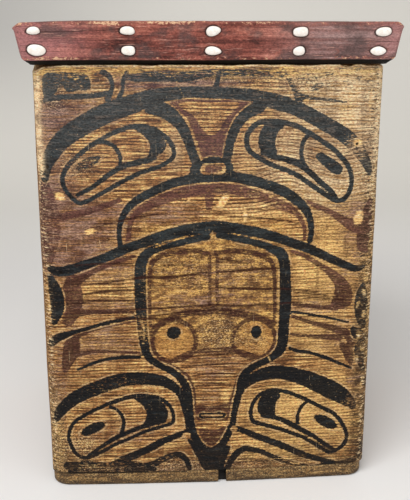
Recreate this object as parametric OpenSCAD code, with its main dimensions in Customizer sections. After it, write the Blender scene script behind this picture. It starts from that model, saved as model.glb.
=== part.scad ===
// Tall bentwood storage box of cedar with a thick carved lid, in millimetres.
// One plank, kerfed and bent at three corners and pegged at the fourth, makes all four walls.
// +Z is up, the origin is the middle of the underside, and the painted front faces -Y.

/* [Walls] */
// Width of the box between its corners
box_w = 390; // [320:1:460]
// Depth of the box between its corners
box_d = 340; // [280:1:420]
// Height of the side plank
wall_h = 493; // [380:1:620]
// Thickness of the side plank
wall_t = 14; // [12:0.5:18]
// How far the middle of each wall bows out past its corners
wall_bow = 6; // [2:0.5:8]
// Outside radius of the three bent corners
bend_r = 16; // [8:1:20]
// Radius of the corners inside the box
inner_r = 3; // [1:0.5:5]
// Width of the kerf that stays open inside each bent corner
kerf_w = 1.2; // [0.6:0.1:2]
// Depth of that kerf, measured along the corner's diagonal
kerf_depth = 5; // [2:0.5:6]

/* [Pegged corner] */
// Outside radius of the pegged corner
joint_r = 3; // [1:0.5:4]
// Thickness of the lip that laps the end of the back wall
lip_t = 6; // [5:0.5:8]
// Open gap along the seam
seam_gap = 0.3; // [0.2:0.1:0.6]
// Number of pegs up the corner
corner_peg_count = 9; // [4:1:12]
// Length of a corner peg inside the corner
corner_peg_l = 42; // [25:1:60]
// Height of the lowest and highest corner pegs from the ends of the plank
corner_peg_margin = 42; // [40:1:70]
// How far a corner peg stands out of the corner
corner_peg_proud = 0.8; // [0.5:0.1:2]

/* [Pegs] */
// Diameter of a wooden peg
peg_d = 7; // [5:0.5:8]
// Clearance round a peg in its hole
peg_fit = 0.05; // [0.02:0.01:0.1]

/* [Base] */
// Thickness of the base board at its edge
base_t = 17; // [12:1:24]
// How far the base's edge stays inside the outer face of the walls
base_inset = 1.5; // [0:0.5:4]
// Radius of the base board's corners under the bent corners
base_r = 22; // [12:1:30]
// Radius of the base board's corner under the pegged corner
base_joint_r = 6; // [3:1:12]
// Height of the raised panel that fits inside the walls
panel_h = 8; // [4:1:14]
// Clearance between that panel and the walls
panel_gap = 0.4; // [0.2:0.1:1]
// Number of pegs into each of the front and back walls
long_peg_count = 4; // [2:2:6]
// Number of pegs into each of the side walls
short_peg_count = 4; // [2:2:6]
// Distance of the outer base pegs from the corners
base_peg_margin = 52; // [48:1:80]
// How far a base peg goes up into the wall
base_peg_rise = 28; // [15:1:34]
// How far the underside end of a base peg is trimmed back
base_peg_trim = 0.4; // [0.2:0.1:1]

/* [Tie notch] */
// Width of the notch in the base's front edge
notch_w = 10; // [6:0.5:16]
// Depth of the notch behind the base's front edge
notch_depth = 11; // [6:0.5:12]
// Distance of the notch to the right of the middle
notch_x = 15; // [-20:1:20]

/* [Lid] */
// Height of the lid above the rim of the walls
lid_h = 46; // [38:1:60]
// How far the lid's top edge stands out past the corners of the walls
lid_top_out = 16; // [13:0.5:22]
// How far the lower edge of the lid's front and back stands out
lid_long_low_out = 9; // [7:0.5:11]
// Height of the bevel under the front and back
lid_long_bevel = 6; // [4:0.5:9]
// How far the lower edge of the lid's ends stands out
lid_end_low_out = 10; // [7:0.5:11]
// Height of the bevel under the ends
lid_end_bevel = 11; // [6:0.5:13]
// How far the foot of the bevels stands out past the corners
lid_foot_out = 1; // [0:0.5:3]
// Chamfer along the lid's top edge
lid_arris = 2; // [1:0.5:3]
// Radius of the lid's upright corners at the top
lid_corner_r = 8; // [4:1:12]
// Depth of the rim under the lid that drops into the mouth
plug_h = 12; // [6:1:18]
// Clearance between that rim and the walls
plug_gap = 1.2; // [0.6:0.1:2]
// Width of that rim
plug_w = 18; // [12:1:26]
// Height of the hollow above the seat of the lid
hollow_h = 24; // [10:1:30]
// Corner radius of the hollow
hollow_r = 20; // [8:1:30]

/* [Opercula] */
// Drop of the upper row below the top of the lid's front face
upper_row_drop = 9; // [8:0.5:11]
// Rise of the lower row above the foot of the lid's front face
lower_row_rise = 9; // [8:0.5:11]
// Distance of the upper row's end shells from the lid's ends
upper_row_margin = 23; // [18:1:30]
// Distance of the lower row's end shells from the lid's ends
lower_row_margin = 26; // [20:1:34]
// Depth of a shell's pocket in the lid
pocket_depth = 3; // [2:0.5:4]
// Clearance round a shell in its pocket
shell_gap = 0.3; // [0.2:0.1:0.5]
// Height of a shell's dome above the lid's face
dome_h = 2.6; // [1:0.1:3.5]

/* [Hidden] */
// How far a cut runs past the face that it opens
overcut = 1;
round_fn = 32;
wall_steps = 8;
corner_steps = 8;
shell_points = 24;
dome_steps = 5;
cedar = [0.64, 0.47, 0.27];
grimy_cedar = [0.42, 0.31, 0.2];
peg_wood = [0.5, 0.36, 0.22];
oxblood = [0.36, 0.12, 0.09];
shell_white = [0.9, 0.87, 0.79];

seat_z = base_t + wall_h;
lid_top_w = box_w + 2 * lid_top_out;
lid_top_d = box_d + 2 * lid_top_out;
peg_hole_d = peg_d + 2 * peg_fit;

// Each wall follows a circle through its two corners and the top of its bow
front_arc_r = bow_radius(box_w / 2);
side_arc_r = bow_radius(box_d / 2);
front_arc_c = [0, front_arc_r - box_d / 2 - wall_bow];
side_arc_c = [box_w / 2 + wall_bow - side_arc_r, 0];

// The lid's front face, from its lower edge to the chamfer at its top
face_rise = lid_h - lid_arris - lid_long_bevel;
face_slope = atan2(lid_top_out - lid_long_low_out, face_rise);
face_l = face_rise / cos(face_slope);

// Each shell: shift along the row, shift up the face, length, width, how egg-shaped, turn
upper_shells = [
    [-1, 1, 14.2, 10.4, 0.1, 4],
    [4, 1, 15.9, 11, -0.12, -3],
    [2, 0.5, 16.1, 11, 0.14, 2],
    [2, -0.5, 16.3, 10, -0.1, -4],
    [-1, -0.5, 17.6, 9.8, 0.16, 3],
];
lower_shells = [
    [-2, 1, 19.8, 12.2, -0.14, -5],
    [3, 0.5, 15, 10.6, 0.1, 3],
    [2, 0, 18, 10.8, -0.16, -2],
    [3, -0.5, 13.2, 9.8, 0.08, 5],
    [-2, -0.5, 18, 10.3, 0.15, -3],
];
shell_count = len(upper_shells);

// Radius of the circle that bows a wall of this half length
function bow_radius(half) = (half * half + wall_bow * wall_bow) / (2 * wall_bow);

// Middle of the corner arc between the front and right walls, for an outline inset by this much
function corner_centre(inset, r) =
    let (
        front_r = front_arc_r - inset - r,
        side_r = side_arc_r - inset - r,
        apart = side_arc_c - front_arc_c,
        d = norm(apart),
        along = (front_r * front_r - side_r * side_r + d * d) / (2 * d),
        across = sqrt(front_r * front_r - along * along),
        dir = apart / d
    )
    front_arc_c + along * dir - across * [dir.y, -dir.x];

// Outline of the front right quarter, from the middle of the front to the middle of the right wall
function quarter(inset, r) =
    let (
        c = corner_centre(inset, r),
        front_a = atan2(c.x, front_arc_c.y - c.y),
        side_a = atan2(-c.y, c.x - side_arc_c.x),
        turn = 90 - side_a - front_a
    )
    concat(
        [for (i = [0:wall_steps - 1]) arc_point(front_arc_c, front_arc_r - inset, front_a * i / wall_steps)],
        [for (i = [0:corner_steps]) arc_point(c, r, front_a + turn * i / corner_steps)],
        [for (i = [1:wall_steps])
            arc_point(side_arc_c, side_arc_r - inset, 90 - side_a * (1 - i / wall_steps))]
    );

// A point on a circle, with the angle counted from -Y towards +X
function arc_point(c, r, a) = c + r * [sin(a), -cos(a)];

function mirrored(points, sx, sy) = [for (p = points) [sx * p.x, sy * p.y]];
function reversed(points) = [for (i = [len(points) - 1:-1:0]) points[i]];
function all_but_last(points) = [for (i = [0:len(points) - 2]) points[i]];

// Closed outline of the box, inset from the walls' outer face.
// The radii are those of the front right, back right, back left and front left corners.
function outline(inset, radii) =
    concat(
        all_but_last(quarter(inset, radii[0])),
        all_but_last(reversed(mirrored(quarter(inset, radii[1]), 1, -1))),
        all_but_last(mirrored(quarter(inset, radii[2]), -1, -1)),
        all_but_last(reversed(mirrored(quarter(inset, radii[3]), -1, 1)))
    );
function even_outline(inset, r) = outline(inset, [r, r, r, r]);

// Places of n pegs in a row that stays this far from both ends
function row_place(i, n, length, margin) = (length - 2 * margin) * (i / (n - 1) - 0.5);

// Middle of the wall's thickness at this distance from the middle of the wall
function front_wall_mid(x) = front_arc_c.y - sqrt(pow(front_arc_r - wall_t / 2, 2) - x * x);
function side_wall_mid(y) = side_arc_c.x + sqrt(pow(side_arc_r - wall_t / 2, 2) - y * y);

// Peg centres for each wall
function front_pegs(side) =
    [for (i = [0:long_peg_count - 1])
        let (x = row_place(i, long_peg_count, box_w, base_peg_margin)) [x, side * front_wall_mid(x)]];
function side_pegs(side) =
    [for (i = [0:short_peg_count - 1])
        let (y = row_place(i, short_peg_count, box_d, base_peg_margin)) [side * side_wall_mid(y), y]];

// Four-sided section of the lid, flared above and bevelled below
function lid_section(half, low_out, bevel) =
    let (
        right = [
            [half + lid_foot_out, 0],
            [half + low_out, bevel],
            [half + lid_top_out, lid_h - lid_arris],
            [half + lid_top_out - lid_arris, lid_h],
        ]
    )
    concat(right, mirrored(reversed(right), -1, 1));

function rounded_rectangle(w, d, r) =
    [for (q = [0:3]) for (i = [0:corner_steps])
        let (
            sx = q == 0 || q == 1 ? 1 : -1,
            sy = q == 1 || q == 2 ? 1 : -1
        )
        arc_point([sx * (w / 2 - r), sy * (d / 2 - r)], r, 90 * (q + i / corner_steps))];

// Outline of one shell, rounder at one end
function shell_outline(length, width, egg) =
    [for (i = [0:shell_points - 1])
        let (a = 360 * i / shell_points)
        [length / 2 * cos(a), width / 2 * sin(a) * (1 + egg * cos(a))]];

module base_peg_holes(top) {
    for (p = concat(front_pegs(1), front_pegs(-1), side_pegs(1), side_pegs(-1)))
        translate([p.x, p.y, -overcut])
            cylinder(h = top + overcut, d = peg_hole_d, $fn = round_fn);
}

module corner_peg_row(d, length, proud) {
    for (i = [0:corner_peg_count - 1])
        translate([
            box_w / 2 - length,
            box_d / 2 - wall_t / 2,
            base_t + wall_h / 2 + row_place(i, corner_peg_count, wall_h, corner_peg_margin),
        ])
            rotate([0, 90, 0])
                cylinder(h = length + proud, d = d, $fn = round_fn);
}

// The L-shaped seam at the back right corner
module seam() {
    lip_x = box_w / 2 - lip_t;
    inside_x = box_w / 2 - wall_t;
    inside_y = box_d / 2 - wall_t;
    translate([lip_x - seam_gap, inside_y])
        square([seam_gap, wall_t + wall_bow]);
    translate([inside_x - inner_r, inside_y])
        square([wall_t - lip_t + inner_r, seam_gap]);
}

// A kerf from the inside of a bent corner towards its outside
module kerf(sx, sy) {
    translate([sx * (box_w / 2 - wall_t), sy * (box_d / 2 - wall_t)])
        rotate(atan2(sy, sx))
            translate([-2 * inner_r, -kerf_w / 2])
                square([2 * inner_r + kerf_depth, kerf_w]);
}

module bent_side_plank() {
    color(cedar)
        difference() {
            translate([0, 0, base_t])
                linear_extrude(wall_h)
                    difference() {
                        polygon(outline(0, [bend_r, joint_r, bend_r, bend_r]));
                        polygon(even_outline(wall_t, inner_r));
                        seam();
                        kerf(1, -1);
                        kerf(-1, -1);
                        kerf(-1, 1);
                    }
            base_peg_holes(base_t + base_peg_rise);
            corner_peg_row(peg_hole_d, corner_peg_l, wall_bow + overcut);
        }
}

module base_board() {
    color(grimy_cedar)
        difference() {
            union() {
                linear_extrude(base_t)
                    polygon(outline(base_inset, [base_r, base_joint_r, base_r, base_r]));
                linear_extrude(base_t + panel_h)
                    polygon(even_outline(wall_t + panel_gap, inner_r));
            }
            base_peg_holes(base_t + overcut);
            tie_notch();
        }
}

// The notch is cut in from the base's bowed front edge
module tie_notch() {
    front_y = front_arc_c.y - sqrt(pow(front_arc_r - base_inset, 2) - notch_x * notch_x);
    translate([notch_x - notch_w / 2, front_y - overcut, -overcut])
        cube([notch_w, notch_depth + overcut, base_t + 2 * overcut]);
}

module corner_pegs() {
    color(peg_wood)
        corner_peg_row(peg_d, corner_peg_l, corner_peg_proud);
}

module base_pegs(centres) {
    color(peg_wood)
        for (p = centres)
            translate([p.x, p.y, base_peg_trim])
                cylinder(h = base_t + base_peg_rise - base_peg_trim, d = peg_d, $fn = round_fn);
}

// Local +Z points out of the lid's front face, and +Y runs up it from its lower edge
module on_front_face(x, up) {
    translate([x, -box_d / 2 - lid_long_low_out, seat_z + lid_long_bevel])
        rotate([90 + face_slope, 0, 0])
            translate([0, up, 0])
                children();
}

module place_upper(i) {
    shell = upper_shells[i];
    on_front_face(row_place(i, shell_count, lid_top_w, upper_row_margin) + shell[0],
                  face_l - upper_row_drop + shell[1])
        rotate(shell[5])
            children();
}

module place_lower(i) {
    shell = lower_shells[i];
    on_front_face(row_place(i, shell_count, lid_top_w, lower_row_margin) + shell[0],
                  lower_row_rise + shell[1])
        rotate(shell[5])
            children();
}

module pocket(shell) {
    translate([0, 0, -pocket_depth])
        linear_extrude(pocket_depth + dome_h)
            polygon(shell_outline(shell[2] + 2 * shell_gap, shell[3] + 2 * shell_gap, shell[4]));
}

// A shell: straight sides in its pocket and a dome of shrinking rings above it
module operculum(shell) {
    rings = concat(
        [[1, -pocket_depth]],
        [for (k = [0:dome_steps - 1]) [cos(90 * k / dome_steps), dome_h * sin(90 * k / dome_steps)]]
    );
    n = shell_points;
    points = concat(
        [for (ring = rings) for (p = shell_outline(shell[2], shell[3], shell[4]))
            [p.x * ring[0], p.y * ring[0], ring[1]]],
        [[0, 0, dome_h]]
    );
    sides = [for (k = [0:len(rings) - 2]) for (i = [0:n - 1])
        let (j = (i + 1) % n, a = k * n, b = a + n)
        each [[a + i, b + i, b + j], [a + i, b + j, a + j]]];
    last = (len(rings) - 1) * n;
    cap = [for (i = [0:n - 1]) [last + i, len(points) - 1, last + (i + 1) % n]];
    color(shell_white)
        polyhedron(points, concat([[for (i = [0:n - 1]) i]], sides, cap));
}

module lid_blank() {
    intersection() {
        rotate([90, 0, 90])
            linear_extrude(lid_top_w, center = true)
                polygon(lid_section(box_d / 2, lid_long_low_out, lid_long_bevel));
        rotate([90, 0, 0])
            linear_extrude(lid_top_d, center = true)
                polygon(lid_section(box_w / 2, lid_end_low_out, lid_end_bevel));
        linear_extrude(lid_h)
            polygon(rounded_rectangle(lid_top_w, lid_top_d, lid_corner_r));
    }
}

module lid() {
    color(oxblood)
        difference() {
            union() {
                translate([0, 0, seat_z])
                    lid_blank();
                translate([0, 0, seat_z - plug_h])
                    linear_extrude(plug_h + hollow_h / 2)
                        polygon(even_outline(wall_t + plug_gap, inner_r));
            }
            translate([0, 0, seat_z - plug_h - overcut])
                linear_extrude(plug_h + hollow_h + overcut)
                    polygon(even_outline(wall_t + plug_gap + plug_w, hollow_r));
            for (i = [0:shell_count - 1]) {
                place_upper(i) pocket(upper_shells[i]);
                place_lower(i) pocket(lower_shells[i]);
            }
        }
}

bent_side_plank();
base_board();
corner_pegs();
base_pegs(front_pegs(1));  // base_pegs_front
base_pegs(front_pegs(-1));  // base_pegs_back
base_pegs(side_pegs(-1));  // base_pegs_left
base_pegs(side_pegs(1));  // base_pegs_right
lid();
for (i = [0:shell_count - 1]) {
    place_upper(i) operculum(upper_shells[i]);
    place_lower(i) operculum(lower_shells[i]);
}
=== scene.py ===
import math
from collections import namedtuple
from types import SimpleNamespace

import bmesh
import bpy
import numpy as np
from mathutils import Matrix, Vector
from mathutils.geometry import tessellate_polygon


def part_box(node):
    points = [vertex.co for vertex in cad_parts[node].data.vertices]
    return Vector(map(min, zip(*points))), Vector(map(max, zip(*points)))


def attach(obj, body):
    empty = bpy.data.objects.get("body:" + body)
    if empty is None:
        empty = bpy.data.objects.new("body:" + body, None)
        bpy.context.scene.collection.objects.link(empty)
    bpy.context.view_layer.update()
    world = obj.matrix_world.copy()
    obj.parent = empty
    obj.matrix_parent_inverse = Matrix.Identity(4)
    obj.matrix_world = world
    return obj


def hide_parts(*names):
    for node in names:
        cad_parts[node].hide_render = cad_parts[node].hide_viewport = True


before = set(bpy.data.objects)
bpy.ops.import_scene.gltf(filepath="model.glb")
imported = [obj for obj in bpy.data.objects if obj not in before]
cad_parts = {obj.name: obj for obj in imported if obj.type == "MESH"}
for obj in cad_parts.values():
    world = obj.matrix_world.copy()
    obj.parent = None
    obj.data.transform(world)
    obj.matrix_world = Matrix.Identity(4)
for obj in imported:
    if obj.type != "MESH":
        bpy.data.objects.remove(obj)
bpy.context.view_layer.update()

# Shapes below are worked out in millimetres, and go into Blender in metres
MM = 0.001


def node_box(node):
    """Lowest and highest corner of a CAD node, in millimetres."""
    low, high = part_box(node)
    return np.array(low) / MM, np.array(high) / MM


plank_low, plank_high = node_box("bent_side_plank")
lid_low, lid_high = node_box("lid")
base_high = node_box("base_board")[1]

# Sizes of the walls
WALL_T = 14
WALL_BOW = 6
BEND_R = 16
JOINT_R = 3
INNER_R = 3
KERF_W = 1.2
KERF_DEPTH = 5
LIP_T = 6
SEAM_GAP = 0.3
HALF_W = plank_high[0] - WALL_BOW
HALF_D = plank_high[1] - WALL_BOW
FOOT_Z = plank_low[2]
SEAT_Z = plank_high[2]


def smooth(t):
    """Eases a value from 0 to 1."""
    t = np.clip(t, 0, 1)
    return t * t * (3 - 2 * t)


def turned(u, v, degrees):
    """Coordinates of a point on axes that are turned by this many degrees."""
    c, s = math.cos(math.radians(degrees)), math.sin(math.radians(degrees))
    return u * c + v * s, v * c - u * s


def wander(points, size, seed):
    """Smooth noise from -1 to 1 at points (n, 3), with features about this many millimetres across."""
    n = 32
    lattice = np.random.RandomState(seed).uniform(-1, 1, (n, n, n))
    q = np.asarray(points, float) / size
    cell = np.floor(q).astype(int)
    t = smooth(q - cell)
    total = np.zeros(len(q))
    for corner in np.ndindex(2, 2, 2):
        weight = np.prod(np.where(np.array(corner) == 1, t, 1 - t), axis=1)
        i, j, k = ((cell + corner) % n).T
        total += weight * lattice[i, j, k]
    return total


# Outline of the box in plan: four bowed walls and rounded corners

def bow_radius(half):
    return (half * half + WALL_BOW * WALL_BOW) / (2 * WALL_BOW)


FRONT_R = bow_radius(HALF_W)
SIDE_R = bow_radius(HALF_D)
FRONT_C = np.array([0, FRONT_R - HALF_D - WALL_BOW])
SIDE_C = np.array([HALF_W + WALL_BOW - SIDE_R, 0])


def on_circle(centre, radius, angles):
    """Points on a circle, with the angles counted from -Y towards +X."""
    return centre + radius * np.stack([np.sin(angles), -np.cos(angles)], -1)


def corner_arc(inset, r):
    """Centre, first angle and last angle of the front right corner of an inset outline."""
    front_r, side_r = FRONT_R - inset - r, SIDE_R - inset - r
    apart = SIDE_C - FRONT_C
    d = np.linalg.norm(apart)
    along = (front_r ** 2 - side_r ** 2 + d * d) / (2 * d)
    across = math.sqrt(front_r ** 2 - along ** 2)
    ux, uy = apart / d
    centre = FRONT_C + along * apart / d - across * np.array([uy, -ux])
    first = math.atan2(centre[0], FRONT_C[1] - centre[1])
    last = math.pi / 2 - math.atan2(-centre[1], centre[0] - SIDE_C[0])
    return centre, first, last


def quarter(inset, r, front_n, corner_n, side_n):
    """Outline from the middle of the front, round the front right corner, to the middle of the right wall."""
    centre, first, last = corner_arc(inset, r)
    return np.concatenate([
        on_circle(FRONT_C, FRONT_R - inset, np.linspace(0, first, front_n, endpoint=False)),
        on_circle(centre, r, np.linspace(first, last, corner_n, endpoint=False)),
        on_circle(SIDE_C, SIDE_R - inset, np.linspace(last, math.pi / 2, side_n + 1)),
    ])


def front_edge_y(x, inset):
    """Where the bowed front of an inset outline lies at this x."""
    return FRONT_C[1] - np.sqrt((FRONT_R - inset) ** 2 - np.asarray(x, float) ** 2)


def side_edge_x(y, inset):
    """Where the bowed right side of an inset outline lies at this y."""
    return SIDE_C[0] + np.sqrt((SIDE_R - inset) ** 2 - np.asarray(y, float) ** 2)


def normals_of(chain, closed=False):
    """Unit normals to the right of a chain of plan points."""
    if closed:
        step = np.roll(chain, -1, 0) - np.roll(chain, 1, 0)
    else:
        step = np.gradient(chain, axis=0)
    step /= np.linalg.norm(step, axis=1)[:, None]
    return np.stack([step[:, 1], -step[:, 0]], -1)


def run_length(chain):
    """Distance along a chain of points, from its first point."""
    return np.concatenate([[0], np.cumsum(np.linalg.norm(np.diff(chain, axis=0), axis=1))])


# Mesh helpers

def grid_faces(index, closed=False):
    """Quads between the rows and columns of an array of vertex numbers."""
    if closed:
        index = np.concatenate([index, index[:, :1]], axis=1)
    a, b = index[:-1, :-1], index[:-1, 1:]
    c, d = index[1:, 1:], index[1:, :-1]
    return np.stack([a, b, c, d], -1).reshape(-1, 4).tolist()


def stitch(first, second, along_a, along_b):
    """Triangles between two chains of vertices side by side, given how far along each vertex lies."""
    faces, i, j = [], 0, 0
    while i < len(first) - 1 or j < len(second) - 1:
        if j == len(second) - 1 or (i < len(first) - 1 and along_a[i + 1] <= along_b[j + 1]):
            faces.append([first[i], first[i + 1], second[j]])
            i += 1
        else:
            faces.append([first[i], second[j + 1], second[j]])
            j += 1
    return [[int(v) for v in f] for f in faces]


def make_piece(name, points, faces, material, body, nodes, layers=None, sharp=40):
    """A smooth-shaded mesh object that stands for some CAD nodes and rides on a body.

    Each layer is a value or a vector for every vertex, which the material reads by its name."""
    mesh = bpy.data.meshes.new(name)
    mesh.from_pydata((np.asarray(points) * MM).tolist(), [], faces)
    bm = bmesh.new()
    bm.from_mesh(mesh)
    bmesh.ops.recalc_face_normals(bm, faces=bm.faces)
    bm.to_mesh(mesh)
    bm.free()
    for key, values in (layers or {}).items():
        values = np.asarray(values, np.float32)
        kind, field = ("FLOAT", "value") if values.ndim == 1 else ("FLOAT_VECTOR", "vector")
        mesh.attributes.new(key, kind, "POINT").data.foreach_set(field, values.ravel())
    mesh.shade_smooth()
    mesh.set_sharp_from_angle(angle=math.radians(sharp))
    mesh.materials.append(material)
    obj = bpy.data.objects.new(name, mesh)
    bpy.context.collection.objects.link(obj)
    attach(obj, body)
    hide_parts(*nodes)
    return obj


# Material helpers

def srgb(r, g, b):
    """A colour given as 0 to 255 on screen, as the shader wants it."""
    def linear(v):
        v /= 255
        return v / 12.92 if v <= 0.04045 else ((v + 0.055) / 1.055) ** 2.4
    return (linear(r), linear(g), linear(b), 1)


class Value:
    """A shader socket that can be added and multiplied like a number."""

    def __init__(self, shader, socket):
        self.shader = shader
        self.socket = socket

    def math(self, operation, other=0.0):
        return self.shader.node("Math", {0: self, 1: other}, operation=operation)

    def __add__(self, other):
        return self.math("ADD", other)

    def __sub__(self, other):
        return self.math("SUBTRACT", other)

    def __mul__(self, other):
        return self.math("MULTIPLY", other)

    def __abs__(self):
        return self.math("ABSOLUTE")

    def step(self, low, high, to_low=0, to_high=1):
        """Eases from to_low, below low, to to_high, above high. It may also run the other way."""
        ends = {"Value": self, "From Min": low, "From Max": high, "To Min": to_low, "To Max": to_high}
        return self.shader.node("MapRange", ends, interpolation_type="SMOOTHSTEP")


class Shader:
    """A material's nodes. Noises lie in one layer of the mesh, and the colour is built coat by coat."""

    def __init__(self, name, layer=None):
        self.material = bpy.data.materials.new(name)
        self.material.use_nodes = True
        self.tree = self.material.node_tree
        self.surface = self.tree.nodes["Principled BSDF"]
        self.where = self.layer(layer) if layer else self.place()
        self.colour = None

    def put(self, socket, value):
        if isinstance(value, Value):
            self.tree.links.new(value.socket, socket)
        else:
            socket.default_value = value

    def add_node(self, kind, inputs=(), **settings):
        made = self.tree.nodes.new("ShaderNode" + kind)
        for key, value in settings.items():
            setattr(made, key, value)
        for key, value in dict(inputs).items():
            self.put(made.inputs[key], value)
        return made

    def node(self, kind, inputs=(), out=0, **settings):
        """One output of a new node."""
        return Value(self, self.add_node(kind, inputs, **settings).outputs[out])

    def layer(self, name, out="Vector"):
        return self.node("Attribute", out=out, attribute_name=name)

    def place(self):
        return self.node("TexCoord", out="Object")

    def split(self, vector):
        return [Value(self, socket) for socket in self.add_node("SeparateXYZ", {0: vector}).outputs]

    def noise_at(self, place, detail=3, rough=0.55):
        inputs = {"Vector": place, "Scale": 1, "Detail": detail, "Roughness": rough}
        return self.node("TexNoise", inputs, "Fac")

    def noise(self, scale, detail=3, rough=0.55, shift=(0, 0, 0), turn=(0, 0, 0)):
        """Noise with this many features for each unit of length along each axis."""
        laid = {"Vector": self.where, "Scale": scale, "Rotation": turn, "Location": shift}
        return self.noise_at(self.node("Mapping", laid), detail, rough)

    def mix(self, share, a, b, blend="MIX"):
        return self.node("Mix", {0: share, 6: a, 7: b}, 2, data_type="RGBA", blend_type=blend)

    def ramp(self, value, *stops):
        """A colour ramp from (place, colour) stops."""
        made = self.add_node("ValToRGB", {0: value})
        band = made.color_ramp.elements
        while len(band) < len(stops):
            band.new(0.5)
        for element, (place, colour) in zip(band, stops):
            element.position = place
            element.color = colour
        return Value(self, made.outputs[0])

    def coat(self, share, colour):
        """Lays a colour over what is there, in this share."""
        self.colour = self.mix(share, self.colour, colour)

    def crisp(self, scale, share):
        """Lightens and darkens the colour in fine specks."""
        speck = self.noise(scale, 2, 0.7, shift=(5, 9, 2))
        grey = self.ramp(speck, (0.36, (0.15, 0.15, 0.15, 1)), (0.64, (0.85, 0.85, 0.85, 1)))
        self.colour = self.mix(share, self.colour, grey, "OVERLAY")

    def finish(self, roughness, relief, bump_mm, strength, **constants):
        bump = self.node("Bump", {"Height": relief, "Distance": bump_mm * MM, "Strength": strength})
        inputs = {"Base_Color": self.colour, "Roughness": roughness, "Normal": bump, **constants}
        for key, value in inputs.items():
            self.put(self.surface.inputs[key.replace("_", " ")], value)
        return self.material


# The painted front: a grid of points on the outside of the front wall and half of each bent corner

FRONT_STEP = 1.8
CORNER_TURN = math.radians(60)
CORNER_N = 8
EDGE_R = 2.4
EDGE_N = 4


def front_columns():
    """Plan points of the front, from left to right."""
    centre, first, _ = corner_arc(0, BEND_R)
    n = int(round(FRONT_R * first / FRONT_STEP))
    right = np.concatenate([
        on_circle(FRONT_C, FRONT_R, np.linspace(0, first, n, endpoint=False)),
        on_circle(centre, BEND_R, np.linspace(first, first + CORNER_TURN, CORNER_N + 1)),
    ])
    return np.concatenate([right[:0:-1] * (-1, 1), right])


def wall_rows(step):
    """Heights of a wall's rows, and how far each is drawn in to round the wall's ends."""
    turn = np.linspace(0, math.pi / 2, EDGE_N + 1)[1:]
    middle = np.linspace(FOOT_Z + EDGE_R, SEAT_Z - EDGE_R, int(round((SEAT_Z - FOOT_Z) / step)))
    out, up = EDGE_R * (1 - np.cos(turn)), EDGE_R * np.sin(turn)
    heights = np.concatenate([(FOOT_Z + EDGE_R - up)[::-1], middle, SEAT_Z - EDGE_R + up])
    drawn_in = np.concatenate([out[::-1], 0 * middle, out])
    return heights, drawn_in


front_plan = front_columns()
front_rows, front_in = wall_rows(FRONT_STEP)
grid_x, grid_z = np.meshgrid(front_plan[:, 0], front_rows)
hand = np.stack([grid_x.ravel(), grid_z.ravel(), 0 * grid_x.ravel()], 1)
# A painter's hand is never quite steady
HAND_SWAY, SWAY_SIZE = 1.1, 34
paint_x = grid_x + HAND_SWAY * wander(hand, SWAY_SIZE, 1).reshape(grid_x.shape)
paint_z = grid_z + HAND_SWAY * wander(hand, SWAY_SIZE, 2).reshape(grid_x.shape)
# Distances from a line are worked out this far, in millimetres
FAR = 24.0


def spread(patches, start=0.0):
    """A soft amount at each grid point, from 0 to 1, that is high inside the patches."""
    amount = np.full(grid_x.shape, start)
    for x, z, wide, high, most in patches:
        amount += most * smooth(1.25 - np.hypot((paint_x - x) / wide, (paint_z - z) / high))
    return np.clip(amount, 0, 1)


# The hand also sits a little lower in places. Each: x, height, half width, half height, share of the drop
DRAWN_LOWER = [(-105, 402, 95, 62, 1.0), (-130, 110, 130, 200, 0.7), (110, 90, 130, 120, 0.25)]
LOWEST_DRAWN = 4.0
paint_z = paint_z + LOWEST_DRAWN * spread(DRAWN_LOWER)


def spline(points, closed=False, steps=7):
    """A smooth line through the given points."""
    p = np.array(points, float)
    before, after = (p[-1:], p[:2]) if closed else (2 * p[:1] - p[1:2], 2 * p[-1:] - p[-2:-1])
    p = np.concatenate([before, p, after])
    t = np.linspace(0, 1, steps, endpoint=False)[:, None]
    line = [0.5 * (2 * b + (c - a) * t + (2 * a - 5 * b + 4 * c - d) * t ** 2
                   + (3 * b - a - 3 * c + d) * t ** 3)
            for a, b, c, d in zip(p[:-3], p[1:-2], p[2:-1], p[3:])]
    return np.concatenate(line + [p[-2:-1]])


def window(low, high):
    """The part of the grid that lies near a box."""
    columns = np.searchsorted(front_plan[:, 0], (low[0] - FAR, high[0] + FAR))
    rows = np.searchsorted(front_rows, (low[1] - FAR, high[1] + FAR))
    return slice(*rows), slice(*columns)


def distance_to(line):
    """Distance of every grid point from a line, less half the line's width where it has one."""
    far = np.full(grid_x.shape, FAR)
    for a, b in zip(line[:-1], line[1:]):
        part = window(np.minimum(a, b)[:2], np.maximum(a, b)[:2])
        dx, dz = b[0] - a[0], b[1] - a[1]
        x, z = paint_x[part] - a[0], paint_z[part] - a[1]
        t = np.clip((x * dx + z * dz) / (dx * dx + dz * dz + 1e-9), 0, 1)
        gap = np.hypot(x - t * dx, z - t * dz)
        if len(a) > 2:
            gap = gap - (a[2] + (b[2] - a[2]) * t) / 2
        far[part] = np.minimum(far[part], gap)
    return far


def stroke(*points):
    """A brush stroke through (x, height, width) points."""
    return distance_to(spline(points))


def area(*points):
    """A filled shape inside a smooth closed line through (x, height) points."""
    line = spline(points, closed=True)
    gap = distance_to(line)
    inside = np.zeros(grid_x.shape, bool)
    part = window(line.min(0), line.max(0))
    x, z = paint_x[part], paint_z[part]
    for a, b in zip(line[:-1], line[1:]):
        if a[1] != b[1]:
            crosses = (a[1] > z) != (b[1] > z)
            inside[part] ^= crosses & (x < a[0] + (z - a[1]) * (b[0] - a[0]) / (b[1] - a[1]))
    return np.where(inside, -gap, gap)


def ring(thickness, *points):
    """A line of even thickness just inside a smooth closed line."""
    edge = area(*points)
    return np.maximum(edge, -edge - thickness)


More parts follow.
